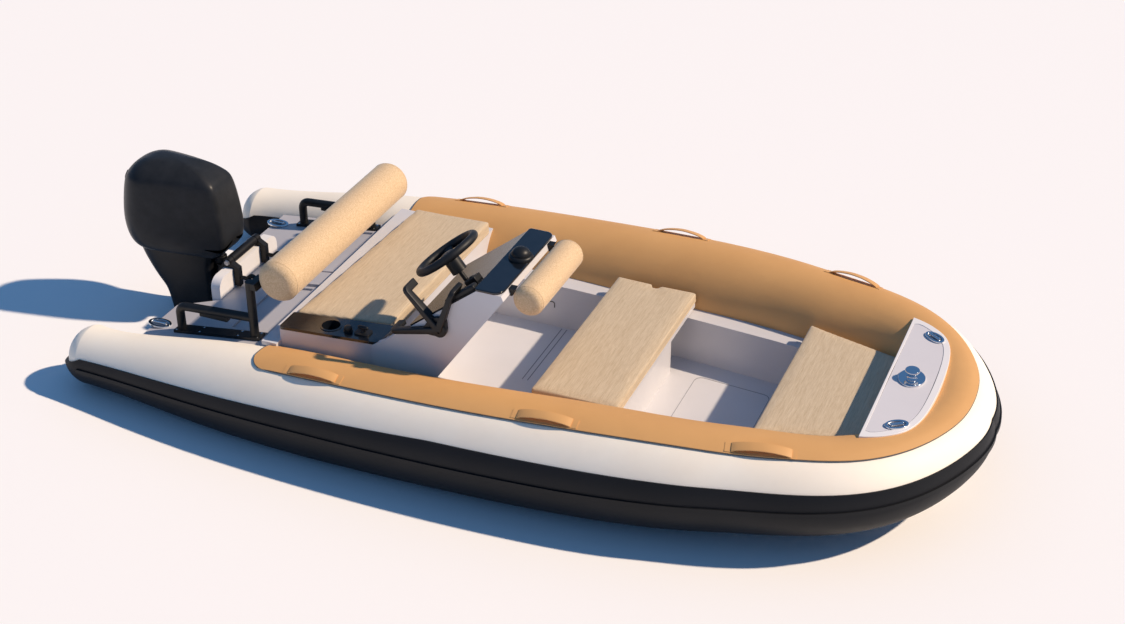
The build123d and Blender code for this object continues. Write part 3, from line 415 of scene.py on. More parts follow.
def turned(profile, at, axis=(0, 0, 1), steps=40):
    """A solid of revolution: profile is (radius, height) from bottom to top."""
    direction = Vector(axis).normalized()
    side = direction.orthogonal().normalized()
    other = direction.cross(side)
    spokes = []
    for step in range(steps):
        angle = 2 * pi * step / steps
        spokes.append(side * cos(angle) + other * sin(angle))
    origin = Vector(at)
    rings = []
    for radius, height in profile:
        rings.append([origin + direction * height + spoke * max(radius, LEAST_RADIUS) for spoke in spokes])
    return loft(rings)


def bend(points, radius, steps=7):
    """A path whose inner corners are rounded by arcs."""
    path = [Vector(points[0])]
    for back, corner, ahead in zip(points, points[1:], points[2:]):
        corner = Vector(corner)
        to_back, to_ahead = Vector(back) - corner, Vector(ahead) - corner
        reach = min(radius, to_back.length * 0.48, to_ahead.length * 0.48)
        start, end = corner + to_back.normalized() * reach, corner + to_ahead.normalized() * reach
        for step in range(steps + 1):
            share = step / steps
            path.append(start * (1 - share) ** 2 + corner * 2 * share * (1 - share) + end * share**2)
    path.append(Vector(points[-1]))
    return path


def sweep(path, section, up=(0, 0, 1), sizes=None):
    """A closed section carried along a path; section points are (across, up)."""
    path = [Vector(p) for p in path]
    rings = []
    for index, point in enumerate(path):
        travel = (path[min(index + 1, len(path) - 1)] - path[max(index - 1, 0)]).normalized()
        lift = Vector(up[index] if isinstance(up, list) else up)
        across = travel.cross(lift).normalized()
        lift = across.cross(travel).normalized()
        size = sizes[index] if sizes else 1.0
        rings.append([point + (across * a + lift * b) * size for a, b in section])
    return loft(rings)


def oblong(width, height, radius, steps=4):
    """A rounded rectangle section."""
    w, h = width / 2, height / 2
    return rounded([(-w, -h), (w, -h), (w, h), (-w, h)], [radius] * 4, steps)


def circle(radius, steps=16):
    return oval(radius, radius, steps)


def oval(half_x, half_y, steps, at=(0, 0)):
    turns = [2 * pi * k / steps for k in range(steps)]
    return [(at[0] + half_x * cos(turn), at[1] + half_y * sin(turn)) for turn in turns]


# ---- padded goods
VOXEL = 0.007
CLOTH_FRAMES = 20
CLOTH_SETTINGS = {
    "use_pressure": True,
    "uniform_pressure_force": 4.0,
    "quality": 5,
    "tension_stiffness": 30,
    "compression_stiffness": 30,
    "bending_stiffness": 4,
}


def inflate(made, cap, voxel=VOXEL):
    """Remesh, swell with air pressure as cloth, and limit how far a point may move."""
    bpy.context.view_layer.update()
    remesh = made.modifiers.new("remesh", "REMESH")
    remesh.mode = "VOXEL"
    remesh.voxel_size = voxel
    apply_modifiers(made)
    rest = [v.co.copy() for v in made.data.vertices]
    cloth = made.modifiers.new("cloth", "CLOTH")
    cloth.settings.effector_weights.gravity = 0
    for name, value in CLOTH_SETTINGS.items():
        setattr(cloth.settings, name, value)
    cloth.collision_settings.use_collision = False
    cloth.point_cache.frame_start = 1
    cloth.point_cache.frame_end = CLOTH_FRAMES
    scene = bpy.context.scene
    for step in range(1, CLOTH_FRAMES + 1):
        scene.frame_set(step)
    apply_modifiers(made)
    scene.frame_set(1)
    for vertex, start in zip(made.data.vertices, rest):
        move = vertex.co - start
        if move.length > cap:
            vertex.co = start + move.normalized() * cap


def final_mesh(made):
    return bpy.data.meshes.new_from_object(made.evaluated_get(bpy.context.evaluated_depsgraph_get()))


def apply_modifiers(made):
    mesh = final_mesh(made)
    made.modifiers.clear()
    made.data = mesh


def padded_piece(name, shape, body, slot, replaces, cap, fill, voxel=VOXEL):
    """A stuffed piece: its shell is swollen by the cloth solver and smoothed once."""
    made = piece(name, *shape, body, slot, replaces)
    inflate(made, cap, voxel)
    finish_piece(made, body, slot, replaces)
    subdivide(made, 1)
    return made


CUSHION_CORNER = 0.006
CUSHION_SHOULDER = 0.006
CUSHION_CROWN = 0.001


def plan_centre(corners):
    return sum((Vector(c) for c in corners), Vector((0, 0))) / len(corners)


def cushion_shape(corners, z0, z1):
    """A crowned slab: its rings pull in at top and bottom, and its top swells."""
    centre = plan_centre(corners)
    outline = rounded(corners, [CUSHION_CORNER] * len(corners), 4)
    shoulder, slight = CUSHION_SHOULDER, CUSHION_SHOULDER * 0.3
    levels = ((shoulder, z0), (slight, z0 + slight), (0.0, z0 + shoulder))
    levels += ((0.0, z1 - shoulder), (slight, z1 - slight), (shoulder, z1))
    rings = []
    for inset, z in levels:
        rings.append([(*(point + (centre - point).normalized() * inset), z) for point in outline])
    for share in (0.35, 0.7, 0.95):
        rings.append([(*point.lerp(centre, share), z1 + CUSHION_CROWN * share) for point in outline])
    return loft(rings)


# ---- collar surface
# Centre line of the port tube from stern to bow: x, y, z, outward turn in degrees
SIDE_STATIONS = (
    (0.070, 0.622, 0.125, 0),
    (0.550, 0.638, 0.141, -1.5),
    (1.050, 0.649, 0.159, -1.0),
    (1.600, 0.653, 0.179, 0.5),
    (2.130, 0.627, 0.199, 4.7),
    (2.500, 0.588, 0.214, 7.5),
)
BOW_ARC_CENTRE_X = 2.700
BOW_ARC_RADIUS = 0.537
# Round the bow: turn in degrees, z
BOW_STATIONS = ((11, 0.225), (30, 0.231), (50, 0.236), (70, 0.241), (90, 0.243))
LAST_SIDE = len(SIDE_STATIONS) - 1
LAST_STATION = LAST_SIDE + len(BOW_STATIONS)


def bow_place(turn):
    """Plan place of the tube's centre on the bow's arc."""
    return BOW_ARC_CENTRE_X + BOW_ARC_RADIUS * sin(radians(turn)), BOW_ARC_RADIUS * cos(radians(turn))


STATIONS = [*SIDE_STATIONS, *((*bow_place(turn), z, turn) for turn, z in BOW_STATIONS)]


def row_at(rows, place):
    """The row of numbers at a place between the rows of a table."""
    low = min(int(place), len(rows) - 2)
    return Vector(rows[low]).lerp(Vector(rows[low + 1]), place - low)


def collar_centre(place):
    """Centre and outward plan direction of the port tube at a station number, whole or between."""
    x, y, z, turn = row_at(STATIONS, place)
    if place >= LAST_SIDE + 1:
        x, y = bow_place(turn)
    return Vector((x, y, z)), Vector((sin(radians(turn)), cos(radians(turn)), 0))


def station_at(x):
    """Station number of the port side tube at x."""
    for index, (first, second) in enumerate(zip(STATIONS, STATIONS[1:])):
        if x <= second[0] or index == LAST_SIDE:
            return index + (x - first[0]) / (second[0] - first[0])


def mesh_skin(mesh):
    """A ray target made of a mesh, which stands in the row frame."""
    return BVHTree.FromPolygons([v.co for v in mesh.vertices], [p.vertices for p in mesh.polygons])


def node_skin(name):
    return mesh_skin(frame["nodes"][name].data)


PAD_SKIN = node_skin("side_pad")
CREAM_SKIN = node_skin("collar_upper")
CAST_FROM = 0.35


def collar_point(place, angle, side, skins):
    """The first surface met going in towards the tube's centre, with the outward direction there."""
    centre, outward = collar_centre(place)
    away = outward * cos(radians(angle)) + Vector((0, 0, sin(radians(angle))))
    start = centre + away * CAST_FROM
    mirrored = Vector((1, side, 1))
    best = None
    for skin in skins:
        hit = skin.ray_cast(start * mirrored, -away * mirrored, CAST_FROM)
        if hit[0] is not None and (best is None or hit[3] < best[1]):
            best = (hit[0], hit[3])
    return (best[0] if best else None), away * mirrored


HANDLE_PLACES = (1.102, 1.984, 2.707)
HANDLE_LENGTH = 0.190
HANDLE_WIDTH = 0.036
HANDLE_RISE = 0.017
HANDLE_ANGLE = 72
HANDLE_STEPS = 20
STRAP_THICKNESS = 0.004
STRAP_CORNER = 0.0017
PATCH_LENGTH = 0.034
PATCH_OVERLAP = 0.012
PATCH_MARGIN = 0.003
PATCH_THICKNESS = 0.0018
PATCH_CORNER = 0.0008
PATCH_LIFT = 0.0004
PATCH_STEPS = 6


def strap(side, start_x, length, steps, section, rise, lift):
    """A flat strip along the collar at the handles' angle; rise arches its middle."""
    path, ups = [], []
    for step in range(steps + 1):
        share = step / steps
        place = station_at(start_x + length * share)
        point, away = collar_point(place, HANDLE_ANGLE, side, (PAD_SKIN, CREAM_SKIN))
        path.append(point + away * (rise * sin(pi * share) ** 0.75 + lift))
        ups.append(away)
    return sweep(path, section, ups)


def make_handles():
    """Low strap arcs on the pad, each with two sewn end patches."""
    arc = oblong(HANDLE_WIDTH, STRAP_THICKNESS, STRAP_CORNER, 3)
    patch = oblong(HANDLE_WIDTH + PATCH_MARGIN, PATCH_THICKNESS, PATCH_CORNER, 3)
    half = HANDLE_LENGTH / 2
    for side, side_name in SIDES:
        parts = []
        for x in HANDLE_PLACES:
            lift = STRAP_THICKNESS * 0.6
            parts.append(strap(side, x - half, HANDLE_LENGTH, HANDLE_STEPS, arc, HANDLE_RISE, lift))
            for end in (-1, 1):
                start_x = x + end * (half - PATCH_OVERLAP)
                parts.append(strap(side, start_x, end * PATCH_LENGTH, PATCH_STEPS, patch, 0, PATCH_LIFT))
        name = f"grab_handles_{side_name}"
        joined_piece(f"strap_handles_{side_name}", parts, "hull", "tan_pad", (name,))


PAD_EDGE_FROM_X = 0.930
PAD_EDGE_STEP = 0.1
PAD_EDGE_ANGLES = (40.0, 88.0)
PAD_AFT_REACH = (0.800, 0.960)
PAD_AFT_ANGLES = range(112, 66, -4)
EDGE_HALVINGS = 11
AFT_HALVINGS = 10
EDGE_SHADE_RADIUS = 0.0022
EDGE_SHADE_SINK = 0.001


def halved(bare, padded, halvings, touch):
    """The padded side of the pad's edge between a bare and a padded value, found by halving."""
    for _ in range(halvings):
        middle = (bare + padded) / 2
        if touch(middle)[0] is None:
            bare = middle
        else:
            padded = middle
    return padded


def make_pad_edge_shade():
    """A thin near-black cord of painted shade along the pad's outer edge, round its aft corners and round the
    bow, for the shadowed gap at the pad's edge.
    """
    for side, side_name in SIDES:
        found = []
        for angle in PAD_AFT_ANGLES:

            def touch(x):
                return collar_point(station_at(x), angle, side, (PAD_SKIN,))

            found.append(touch(halved(*PAD_AFT_REACH, AFT_HALVINGS, touch)))
        places = [station_at(PAD_EDGE_FROM_X)]
        while places[-1] + PAD_EDGE_STEP < LAST_STATION - 0.01:
            places.append(places[-1] + PAD_EDGE_STEP)
        for place in places + [LAST_STATION - 0.001]:

            def touch(angle):
                return collar_point(place, angle, side, (PAD_SKIN,))

            found.append(touch(halved(*PAD_EDGE_ANGLES, EDGE_HALVINGS, touch)))
        found = [(hit, away) for hit, away in found if hit is not None]
        path = [hit - away * EDGE_SHADE_SINK for hit, away in found]
        shape = sweep(path, circle(EDGE_SHADE_RADIUS, 8), [away for _, away in found])
        # Near-black painted shade for the gap at the pad's edge
        piece(f"pad_edge_shade_{side_name}", *shape, "hull", "black_rubber", material=SHADE_DARK)


# ---- seats and bolsters
SEAT_Z = (0.3255, 0.385)
BENCH_Z = (0.2525, 0.300)
HELM_CORNERS = ((0.862, -0.414), (1.235, -0.352), (1.235, 0.505), (0.905, 0.492))
MID_CORNERS = (
    (1.815, -0.434), (2.151, -0.428), (2.151, 0.428), (2.004, 0.430), (1.996, 0.410),
    (1.970, 0.410), (1.962, 0.431), (1.815, 0.434),
)
FRONT_CORNERS = ((2.612, -0.376), (2.984, -0.281), (2.984, 0.274), (2.612, 0.376))
CUSHION_LIMIT = 0.005
CUSHION_FILL = 0.9
CUSHION_SWELL = 0.004
SEAM_HEIGHT = 0.012


def make_cushions():
    table = (
        ("helm_seat_pad", HELM_CORNERS, SEAT_Z, "helm_seat_cushion"),
        ("mid_bench_pad", MID_CORNERS, BENCH_Z, "mid_bench_cushion"),
        ("front_bench_pad", FRONT_CORNERS, BENCH_Z, "front_bench_cushion"),
    )
    for name, corners, (z0, z1), node in table:
        shape = cushion_shape(corners, z0, z1 - CUSHION_SWELL)
        made = padded_piece(name, shape, "hull", "cushion_weave", (node,), CUSHION_LIMIT, CUSHION_FILL)
        make_cushion_seam(f"{name}_seam", made, corners, z0 + SEAM_HEIGHT)


SEAM_RADIUS = 0.0016
SEAM_CORNER = 0.008
SEAM_CAST_FROM = 0.05
SEAM_CAST_REACH = 0.12
SEAM_LEAST_STEP = 0.002


def make_cushion_seam(name, cushion, corners, height):
    """The lower seam where the cover's top and border are sewn together."""
    skin = mesh_skin(cushion.data)
    centre = plan_centre(corners)
    outline = rounded(corners, [SEAM_CORNER] * len(corners), 3)
    targets = []
    for first, second in zip(outline, outline[1:] + outline[:1]):
        targets += [first.lerp(second, share) for share in (0.0, 0.25, 0.5, 0.75)]
    path = []
    for target in targets + targets[:1]:
        away = (target - centre).normalized()
        start = Vector((*(target + away * SEAM_CAST_FROM), height))
        hit = skin.ray_cast(start, -away.to_3d(), SEAM_CAST_REACH)[0]
        if hit is not None and (not path or (hit - path[-1]).length > SEAM_LEAST_STEP):
            path.append(hit)
    piece(name, *sweep(path, circle(SEAM_RADIUS, 6)), "hull", "cushion_weave")


# Bolsters: x and z of the axis, y of both ends, radius, radius of the rounded ends
REAR_BOLSTER = (0.817, 0.513, -0.466, 0.466, 0.084, 0.034)
FRONT_BOLSTER = (1.818, 0.660, -0.458, -0.055, 0.060, 0.026)
BOLSTER_CAP = 0.004
BOLSTER_FILL = 0.95
BOLSTER_INSET = 0.003
BOLSTER_VOXEL = 0.006
BOLSTER_END_STEPS = 6
BOLSTER_ROWS = 14
ROLL_SEAM_STEPS = 48
ROLL_SEAM_SINK = 0.0004
ROLL_CAST_FROM = 0.15


def make_bolster(name, x, z, y0, y1, radius, end_radius, node):
    """A stuffed roll across the boat with rounded ends and a sewn ring at each end."""
    radius -= BOLSTER_INSET
    end = [(0.0, 0.0), (radius * 0.5, 0.001)]
    for step in range(BOLSTER_END_STEPS + 1):
        angle = pi / 2 * step / BOLSTER_END_STEPS
        end.append((radius - end_radius + end_radius * sin(angle), end_radius * (1 - cos(angle)) + 0.002))
    length = y1 - y0
    straight = length - 2 * end_radius
    middle = [(radius, end_radius + straight * row / BOLSTER_ROWS) for row in range(1, BOLSTER_ROWS)]
    mirrored = [(r, length - h) for r, h in reversed(end)]
    shape = turned(end + middle + mirrored, (x, y0, z), (0, 1, 0), 40)
    settings = ("hull", "bolster_fabric", (node,), BOLSTER_CAP, BOLSTER_FILL, BOLSTER_VOXEL)
    made = padded_piece(name, shape, *settings)
    skin = mesh_skin(made.data)
    for end_name, y in (("starboard", y0 + end_radius * 0.9), ("port", y1 - end_radius * 0.9)):
        path = []
        for step in range(ROLL_SEAM_STEPS + 1):
            angle = 2 * pi * step / ROLL_SEAM_STEPS
            away = Vector((cos(angle), 0, sin(angle)))
            hit = skin.ray_cast(Vector((x, y, z)) + away * ROLL_CAST_FROM, -away, ROLL_CAST_FROM)[0]
            if hit is not None:
                path.append(hit - away * ROLL_SEAM_SINK)
        shape = sweep(path, circle(SEAM_RADIUS, 6), (0, 1, 0))
        piece(f"{name}_seam_{end_name}", *shape, "hull", "bolster_fabric")


# ---- outboard motor
# Cowl sections: z, aft x, fore x, aft half width, fore half width, aft corner, fore corner, arch
COWL_SECTIONS = (
    (0.300, -0.097, 0.287, 0.119, 0.073, 0.100, 0.026, 0.0),
    (0.308, -0.112, 0.305, 0.133, 0.078, 0.106, 0.026, 0.0),
    (0.335, -0.126, 0.328, 0.147, 0.082, 0.112, 0.026, 0.0),
    (0.370, -0.133, 0.343, 0.157, 0.085, 0.116, 0.026, 0.0),
    (0.430, -0.136, 0.345, 0.165, 0.086, 0.118, 0.026, 0.0),
    (0.500, -0.129, 0.337, 0.163, 0.085, 0.118, 0.026, 0.003),
    (0.560, -0.119, 0.327, 0.159, 0.083, 0.116, 0.026, 0.008),
    (0.596, -0.110, 0.317, 0.154, 0.081, 0.112, 0.026, 0.014),
    (0.612, -0.101, 0.307, 0.147, 0.077, 0.106, 0.026, 0.018),
    (0.622, -0.094, 0.294, 0.138, 0.070, 0.098, 0.026, 0.019),
    (0.641, -0.077, 0.266, 0.119, 0.059, 0.084, 0.024, 0.016),
    (0.656, -0.056, 0.234, 0.096, 0.048, 0.066, 0.020, 0.013),
    (0.667, -0.028, 0.198, 0.068, 0.034, 0.044, 0.016, 0.011),
)
# Leg sections, in the same order but without an arch
LEG_SECTIONS = (
    (0.312, -0.080, 0.240, 0.100, 0.058, 0.082, 0.024),
    (0.303, -0.094, 0.262, 0.116, 0.066, 0.098, 0.026),
    (0.299, -0.095, 0.262, 0.117, 0.067, 0.098, 0.026),
    (0.270, -0.086, 0.252, 0.106, 0.064, 0.086, 0.026),
    (0.235, -0.074, 0.245, 0.094, 0.061, 0.076, 0.026),
    (0.160, -0.038, 0.238, 0.072, 0.056, 0.054, 0.026),
    (0.120, -0.012, 0.235, 0.061, 0.052, 0.045, 0.024),
    (0.085, 0.006, 0.233, 0.054, 0.049, 0.040, 0.022),
    (0.000, 0.018, 0.228, 0.049, 0.046, 0.036, 0.020),
    (-0.086, 0.030, 0.222, 0.045, 0.043, 0.032, 0.018),
    (-0.090, 0.030, 0.222, 0.045, 0.043, 0.032, 0.018),
)
ARCH_MIDDLE_X = 0.150
ARCH_REACH = 0.220
CORNER_STEPS = 5
# Turned-in hem and crown of the cowl: share of the end section's size, z
COWL_HEM = ((0.90, 0.303), (0.98, 0.3005))
COWL_CROWN = ((0.7, 0.682), (0.3, 0.685))


def section_ring(z, x0, x1, aft_half, fore_half, aft_corner, fore_corner, arch=0.0):
    """One plan section; arch lifts its middle, so that the shoulder line rises and falls."""
    corners = ((x0, -aft_half), (x1, -fore_half), (x1, fore_half), (x0, aft_half))
    plan = rounded(corners, (aft_corner, fore_corner, fore_corner, aft_corner), CORNER_STEPS)
    ring = []
    for index, point in enumerate(plan):
        ring.append(point)
        if index % (CORNER_STEPS + 1) == CORNER_STEPS:
            after = plan[(index + 1) % len(plan)]
            ring += [point.lerp(after, share) for share in (0.25, 0.5, 0.75)]
    return [(x, y, z + arch * max(0.0, 1 - ((x - ARCH_MIDDLE_X) / ARCH_REACH) ** 2)) for x, y in ring]


def shrunk(ring, share, z):
    """The ring drawn in towards its own middle, at another height."""
    middle_x = sum(p[0] for p in ring) / len(ring)
    return [(middle_x + (p[0] - middle_x) * share, p[1] * share, z) for p in ring]


def make_cowl():
    rings = [section_ring(*section) for section in COWL_SECTIONS]
    hem = [shrunk(rings[0], *step) for step in COWL_HEM]
    crown = [shrunk(rings[-1], *step) for step in COWL_CROWN]
    shape = loft(hem + rings + crown)
    return piece("cowl_skin", *shape, "motor", "cowl_charcoal", ("cowl", "powerhead"), levels=2)


SLOT_CENTRE = (0.250, 0.0)
# Slot edges: angle from straight ahead in degrees, upper z, lower z
SLOT_EDGES = (
    (84, 0.3465, 0.3455),
    (62, 0.3490, 0.3390),
    (46, 0.3530, 0.3340),
    (28, 0.3600, 0.3450),
    (10, 0.3690, 0.3650),
)
SLOT_ROWS = 3
SLOT_COLUMNS = 40
SLOT_CAST_FROM = 0.4
SLOT_PROUD = 0.0016
SLOT_DEPTH = 0.002


def make_slot(name, skin, side):
    """The tapering slot that wraps round a fore corner of the cowl, as a thin sheet of near-black painted
    shade for its shaded inside.
    """
    verts, faces = [], []
    for column in range(SLOT_COLUMNS + 1):
        turn, upper, lower = row_at(SLOT_EDGES, column / SLOT_COLUMNS * (len(SLOT_EDGES) - 1))
        away = Vector((cos(radians(turn)), side * sin(radians(turn)), 0))
        for row in range(SLOT_ROWS + 1):
            middle = Vector((*SLOT_CENTRE, upper + (lower - upper) * row / SLOT_ROWS))
            hit = skin.ray_cast(middle + away * SLOT_CAST_FROM, -away, SLOT_CAST_FROM)[0]
            verts.append((middle if hit is None else hit) + away * SLOT_PROUD)
    for column in range(SLOT_COLUMNS):
        for row in range(SLOT_ROWS):
            corner = column * (SLOT_ROWS + 1) + row
            faces.append((corner, corner + 1, corner + SLOT_ROWS + 2, corner + SLOT_ROWS + 1))
    made = piece(name, verts, faces, "motor", "gloss_black", material=HOLE_SHADE)
    thick = made.modifiers.new("thickness", "SOLIDIFY")
    thick.thickness = SLOT_DEPTH
    thick.offset = -1


PORT_MIDDLE = Vector((0.05, 0, 0.50))
PORT_DIRECTION = (-0.155, 0.055, 0.10)
PORT_CAST_FROM = 0.5
PORT_PROFILE = ((0.017, -0.004), (0.017, 0.0008), (0, 0.0008))


def make_cowl_details(cowl):
    """A slot and a round port on each side of the cowl."""
    bpy.context.view_layer.update()
    mesh = final_mesh(cowl)
    skin = mesh_skin(mesh)
    bpy.data.meshes.remove(mesh)
    for side, side_name in SIDES:
        make_slot(f"cowl_slot_{side_name}", skin, side)
        direction = (Vector(PORT_DIRECTION) * Vector((1, side, 1))).normalized()
        start = PORT_MIDDLE + direction * PORT_CAST_FROM
        place, normal, *_ = skin.ray_cast(start, -direction, PORT_CAST_FROM)
        if place is not None:
            # The port is a thin near-black disc: painted shade for its opening
            port = turned(PORT_PROFILE, place, normal, 24)
            piece(f"cowl_port_{side_name}", *port, "motor", "gloss_black", material=HOLE_SHADE)


YOKE_Z = ((0.249, 0.279), (0.053, 0.072))
YOKE_CORNERS = ((0.150, -0.030), (0.290, -0.022), (0.290, 0.022), (0.150, 0.030))
YOKE_RADII = (0.004, 0.0215, 0.0215, 0.004)
PIN_AT = (0.268, 0, 0.050)
PIN_PROFILE = ((0, 0), (0.0115, 0), (0.0115, 0.235), (0.017, 0.235), (0.017, 0.244), (0, 0.246))


def make_leg():
    rings = [section_ring(*section) for section in LEG_SECTIONS]
    piece("leg_skin", *loft(rings), "motor", "motor_black", ("midsection",), levels=2)
    plan = rounded(YOKE_CORNERS, YOKE_RADII, 8)
    joined_piece("yokes", [plate(plan, *z) for z in YOKE_Z], "motor", "motor_black", edge=0.003)
    piece("steering_pin", *turned(PIN_PROFILE, PIN_AT), "motor", "motor_metal")


CLAMP_Y = 0.100
CLAMP_SCREW_AT = (0.419, 0.262)
CLAMP_SCREW = ((0, 0), (0.008, 0), (0.008, 0.034), (0.011, 0.034), (0.011, 0.044), (0, 0.046))
CLAMP_HANDLE = ((0.448, 0.262), (0.463, 0.280), (0.482, 0.278), (0.490, 0.240))
CLAMP_HANDLE_BEND = 0.012
CLAMP_HANDLE_SECTION = (0.020, 0.010, 0.004)
CLAMP_SIDE_Y = 0.1125
TILT_NUT_AT = (0.372, 0.324)
TILT_NUT = ((0, 0), (0.013, 0), (0.013, 0.004), (0.010, 0.008), (0, 0.009))
CLAMP_BOLTS_AT = ((0.340, 0.165), (0.340, 0.205))
CLAMP_BOLT = ((0, 0), (0.008, 0), (0.008, 0.004), (0, 0.005))


def make_clamp():
    """Clamp screws with bent handles, and the bolt heads on the clamp's sides."""
    screws, bolts = [], []
    for side in (-1, 1):
        y = side * CLAMP_Y
        x, z = CLAMP_SCREW_AT
        screws.append(turned(CLAMP_SCREW, (x, y, z), (1, 0, 0), 20))
        handle = bend([(x, y, z) for x, z in CLAMP_HANDLE], CLAMP_HANDLE_BEND)
        screws.append(sweep(handle, oblong(*CLAMP_HANDLE_SECTION), (1, 0, 0.2)))
        heads = [(TILT_NUT, TILT_NUT_AT)] + [(CLAMP_BOLT, at) for at in CLAMP_BOLTS_AT]
        for profile, (x, z) in heads:
            bolts.append(turned(profile, (x, side * CLAMP_SIDE_Y, z), (0, side, 0), 6))
    joined_piece("clamp_handles", screws, "hull", "motor_black", ("clamp_screws",))
    joined_piece("clamp_bolts", bolts, "hull", "motor_metal")


# ---- helm
WHEEL_AT = Vector((1.420, -0.255, 0.668))
COLUMN_ANGLE = radians(52)
WHEEL_AXIS = Vector((cos(COLUMN_ANGLE), 0, -sin(COLUMN_ANGLE)))
WHEEL_SIDE = Vector((0, 1, 0))
WHEEL_UP = WHEEL_AXIS.cross(WHEEL_SIDE)
RIM_RADIUS = 0.117
RIM_SECTION = 0.0155
RIM_STEPS = 96
RIM_SECTION_STEPS = 18
GRIP_WAVES = 24
GRIP_DEPTH = 0.03
SPOKE_ANGLES = (90, 210, 330)
SPOKE_STEPS = 8
SPOKE_SECTION = (0.030, 0.009, 0.004)
SPOKE_FROM = 0.020
SPOKE_LENGTH = 0.092
SPOKE_DEPTH = 0.016
SPOKE_DISH = 0.014
HUB_PROFILE = (
    (0, -0.004), (0.018, -0.003), (0.028, 0), (0.033, 0.006), (0.034, 0.012), (0.034, 0.024),
    (0.031, 0.0265), (0.012, 0.0265), (0.012, 0.072), (0, 0.072),
)


def wheel_point(angle, radius, depth):
    return WHEEL_AT + (WHEEL_SIDE * cos(angle) + WHEEL_UP * sin(angle)) * radius + WHEEL_AXIS * depth


def make_wheel():
    """A rim with finger grips on its inner side, three dished spokes and a hub."""
    rings = []
    for step in range(RIM_STEPS):
        angle = 2 * pi * step / RIM_STEPS
        grip = 1 + GRIP_DEPTH * cos(angle * GRIP_WAVES)
        ring = []
        for part in range(RIM_SECTION_STEPS):
            turn = 2 * pi * part / RIM_SECTION_STEPS
            out = RIM_SECTION * cos(turn) * (1.0 if cos(turn) > 0 else grip)
            ring.append(wheel_point(angle, RIM_RADIUS + out, RIM_SECTION * sin(turn)))
        rings.append(ring)
    piece("wheel_rim", *loft(rings, closed=True), "wheel", "black_grip", ("steering_wheel",))
    shares = [step / SPOKE_STEPS for step in range(SPOKE_STEPS + 1)]
    sizes = [1.25 - 0.45 * sin(pi * min(1.0, share * 1.1)) for share in shares]
    depths = [SPOKE_DEPTH - SPOKE_DISH * share**1.6 for share in shares]
    spokes = []
    for degrees in SPOKE_ANGLES:
        places = [(SPOKE_FROM + SPOKE_LENGTH * share, depth) for share, depth in zip(shares, depths)]
        path = [wheel_point(radians(degrees), *place) for place in places]
        spokes.append(sweep(path, oblong(*SPOKE_SECTION), WHEEL_AXIS, sizes))
    joined_piece("wheel_spokes", spokes, "wheel", "black_grip")
    piece("wheel_hub", *turned(HUB_PROFILE, WHEEL_AT, WHEEL_AXIS), "wheel", "black_fitting")


LEVER_HUB = Vector((1.508, -0.506, 0.514))
LEVER_TIPS = ((1.328, 0.464), (1.384, 0.643), (1.560, 0.666))
LEVER_GRIP = 0.062
LEVER_BEND = 0.011
LEVER_SECTION = (0.029, 0.018, 0.0035)
LEVER_ROOT_SIZE = 1.45
WEB_SHARES = (0.32, 0.26, 0.30)
WEB_HALF_WIDTH = 0.013
WEB_HALF_THICKNESS = 0.0085
WEB_LOBES = (Vector((0.030, 0, 0.004)), Vector((0.004, 0, -0.030)))
LEVER_BOSS = ((0, 0), (0.029, 0), (0.030, 0.004), (0.030, 0.017), (0.026, 0.020), (0, 0.020))
LEVER_BOSS_Y = -0.500


def make_levers():
    """Three flat bent arms from one boss, webbed together, each with a grip turned inboard."""
    parts, web = [], []
    for (tip_x, tip_z), share in zip(LEVER_TIPS, WEB_SHARES):
        tip = Vector((tip_x, LEVER_HUB.y, tip_z))
        path = bend((LEVER_HUB, tip, tip + Vector((0, LEVER_GRIP, 0))), LEVER_BEND, 4)
        arm = tip - LEVER_HUB
        side = Vector((-arm.z, 0, arm.x)).normalized()
        sizes = [LEVER_ROOT_SIZE] + [1.0] * (len(path) - 1)
        parts.append(sweep(path, oblong(*LEVER_SECTION), side, sizes))
        web += [LEVER_HUB + arm * share + side * way for way in (-WEB_HALF_WIDTH, WEB_HALF_WIDTH)]
    web += [LEVER_HUB + lobe for lobe in WEB_LOBES]
    middle = sum(web, Vector()) / len(web)
    web.sort(key=lambda v: atan2(v.z - middle.z, v.x - middle.x))
    halves = (-WEB_HALF_THICKNESS, WEB_HALF_THICKNESS)
    parts.append(loft([[v + Vector((0, y, 0)) for v in web] for y in halves]))
    parts.append(turned(LEVER_BOSS, (LEVER_HUB.x, LEVER_BOSS_Y, LEVER_HUB.z), (0, -1, 0), 36))
    joined_piece("lever_arms", parts, "hull", "black_fitting", ("lever_frame",), edge=0.0015)


TOP_CORNERS = ((1.644, -0.502), (1.744, -0.502), (1.744, -0.028), (1.644, -0.028))
TOP_RADII = (0.010, 0.036, 0.030, 0.012)
TOP_Z = (0.695, 0.706)
PANEL_FOOT = Vector((1.385, 0.4932))
PANEL_HEAD = Vector((1.652, 0.7030))
PANEL_SLOPE = (PANEL_HEAD - PANEL_FOOT).normalized()
PANEL_NORMAL = Vector((-PANEL_SLOPE.y, 0, PANEL_SLOPE.x))
PANEL_Y = (-0.498, -0.034)
PANEL_RADII = (0.012, 0.002, 0.002, 0.030)
PANEL_LIFTS = (-0.006, 0.002)
# Wedge under the panel: its y, the shares of the slope it spans, and the x, z of its lower edges
WEDGE_Y = (-0.484, -0.040)
WEDGE_SHARES = (0.03, 0.97)
WEDGE_LOW = ((1.652, 0.687), (1.432, 0.428), (1.420, 0.426))


def panel_point(share, y, lift=0.0):
    """A place on the sloping helm panel: share of the way up from its foot."""
    place = PANEL_FOOT.lerp(PANEL_HEAD, share)
    return Vector((place.x, y, place.y)) + PANEL_NORMAL * lift


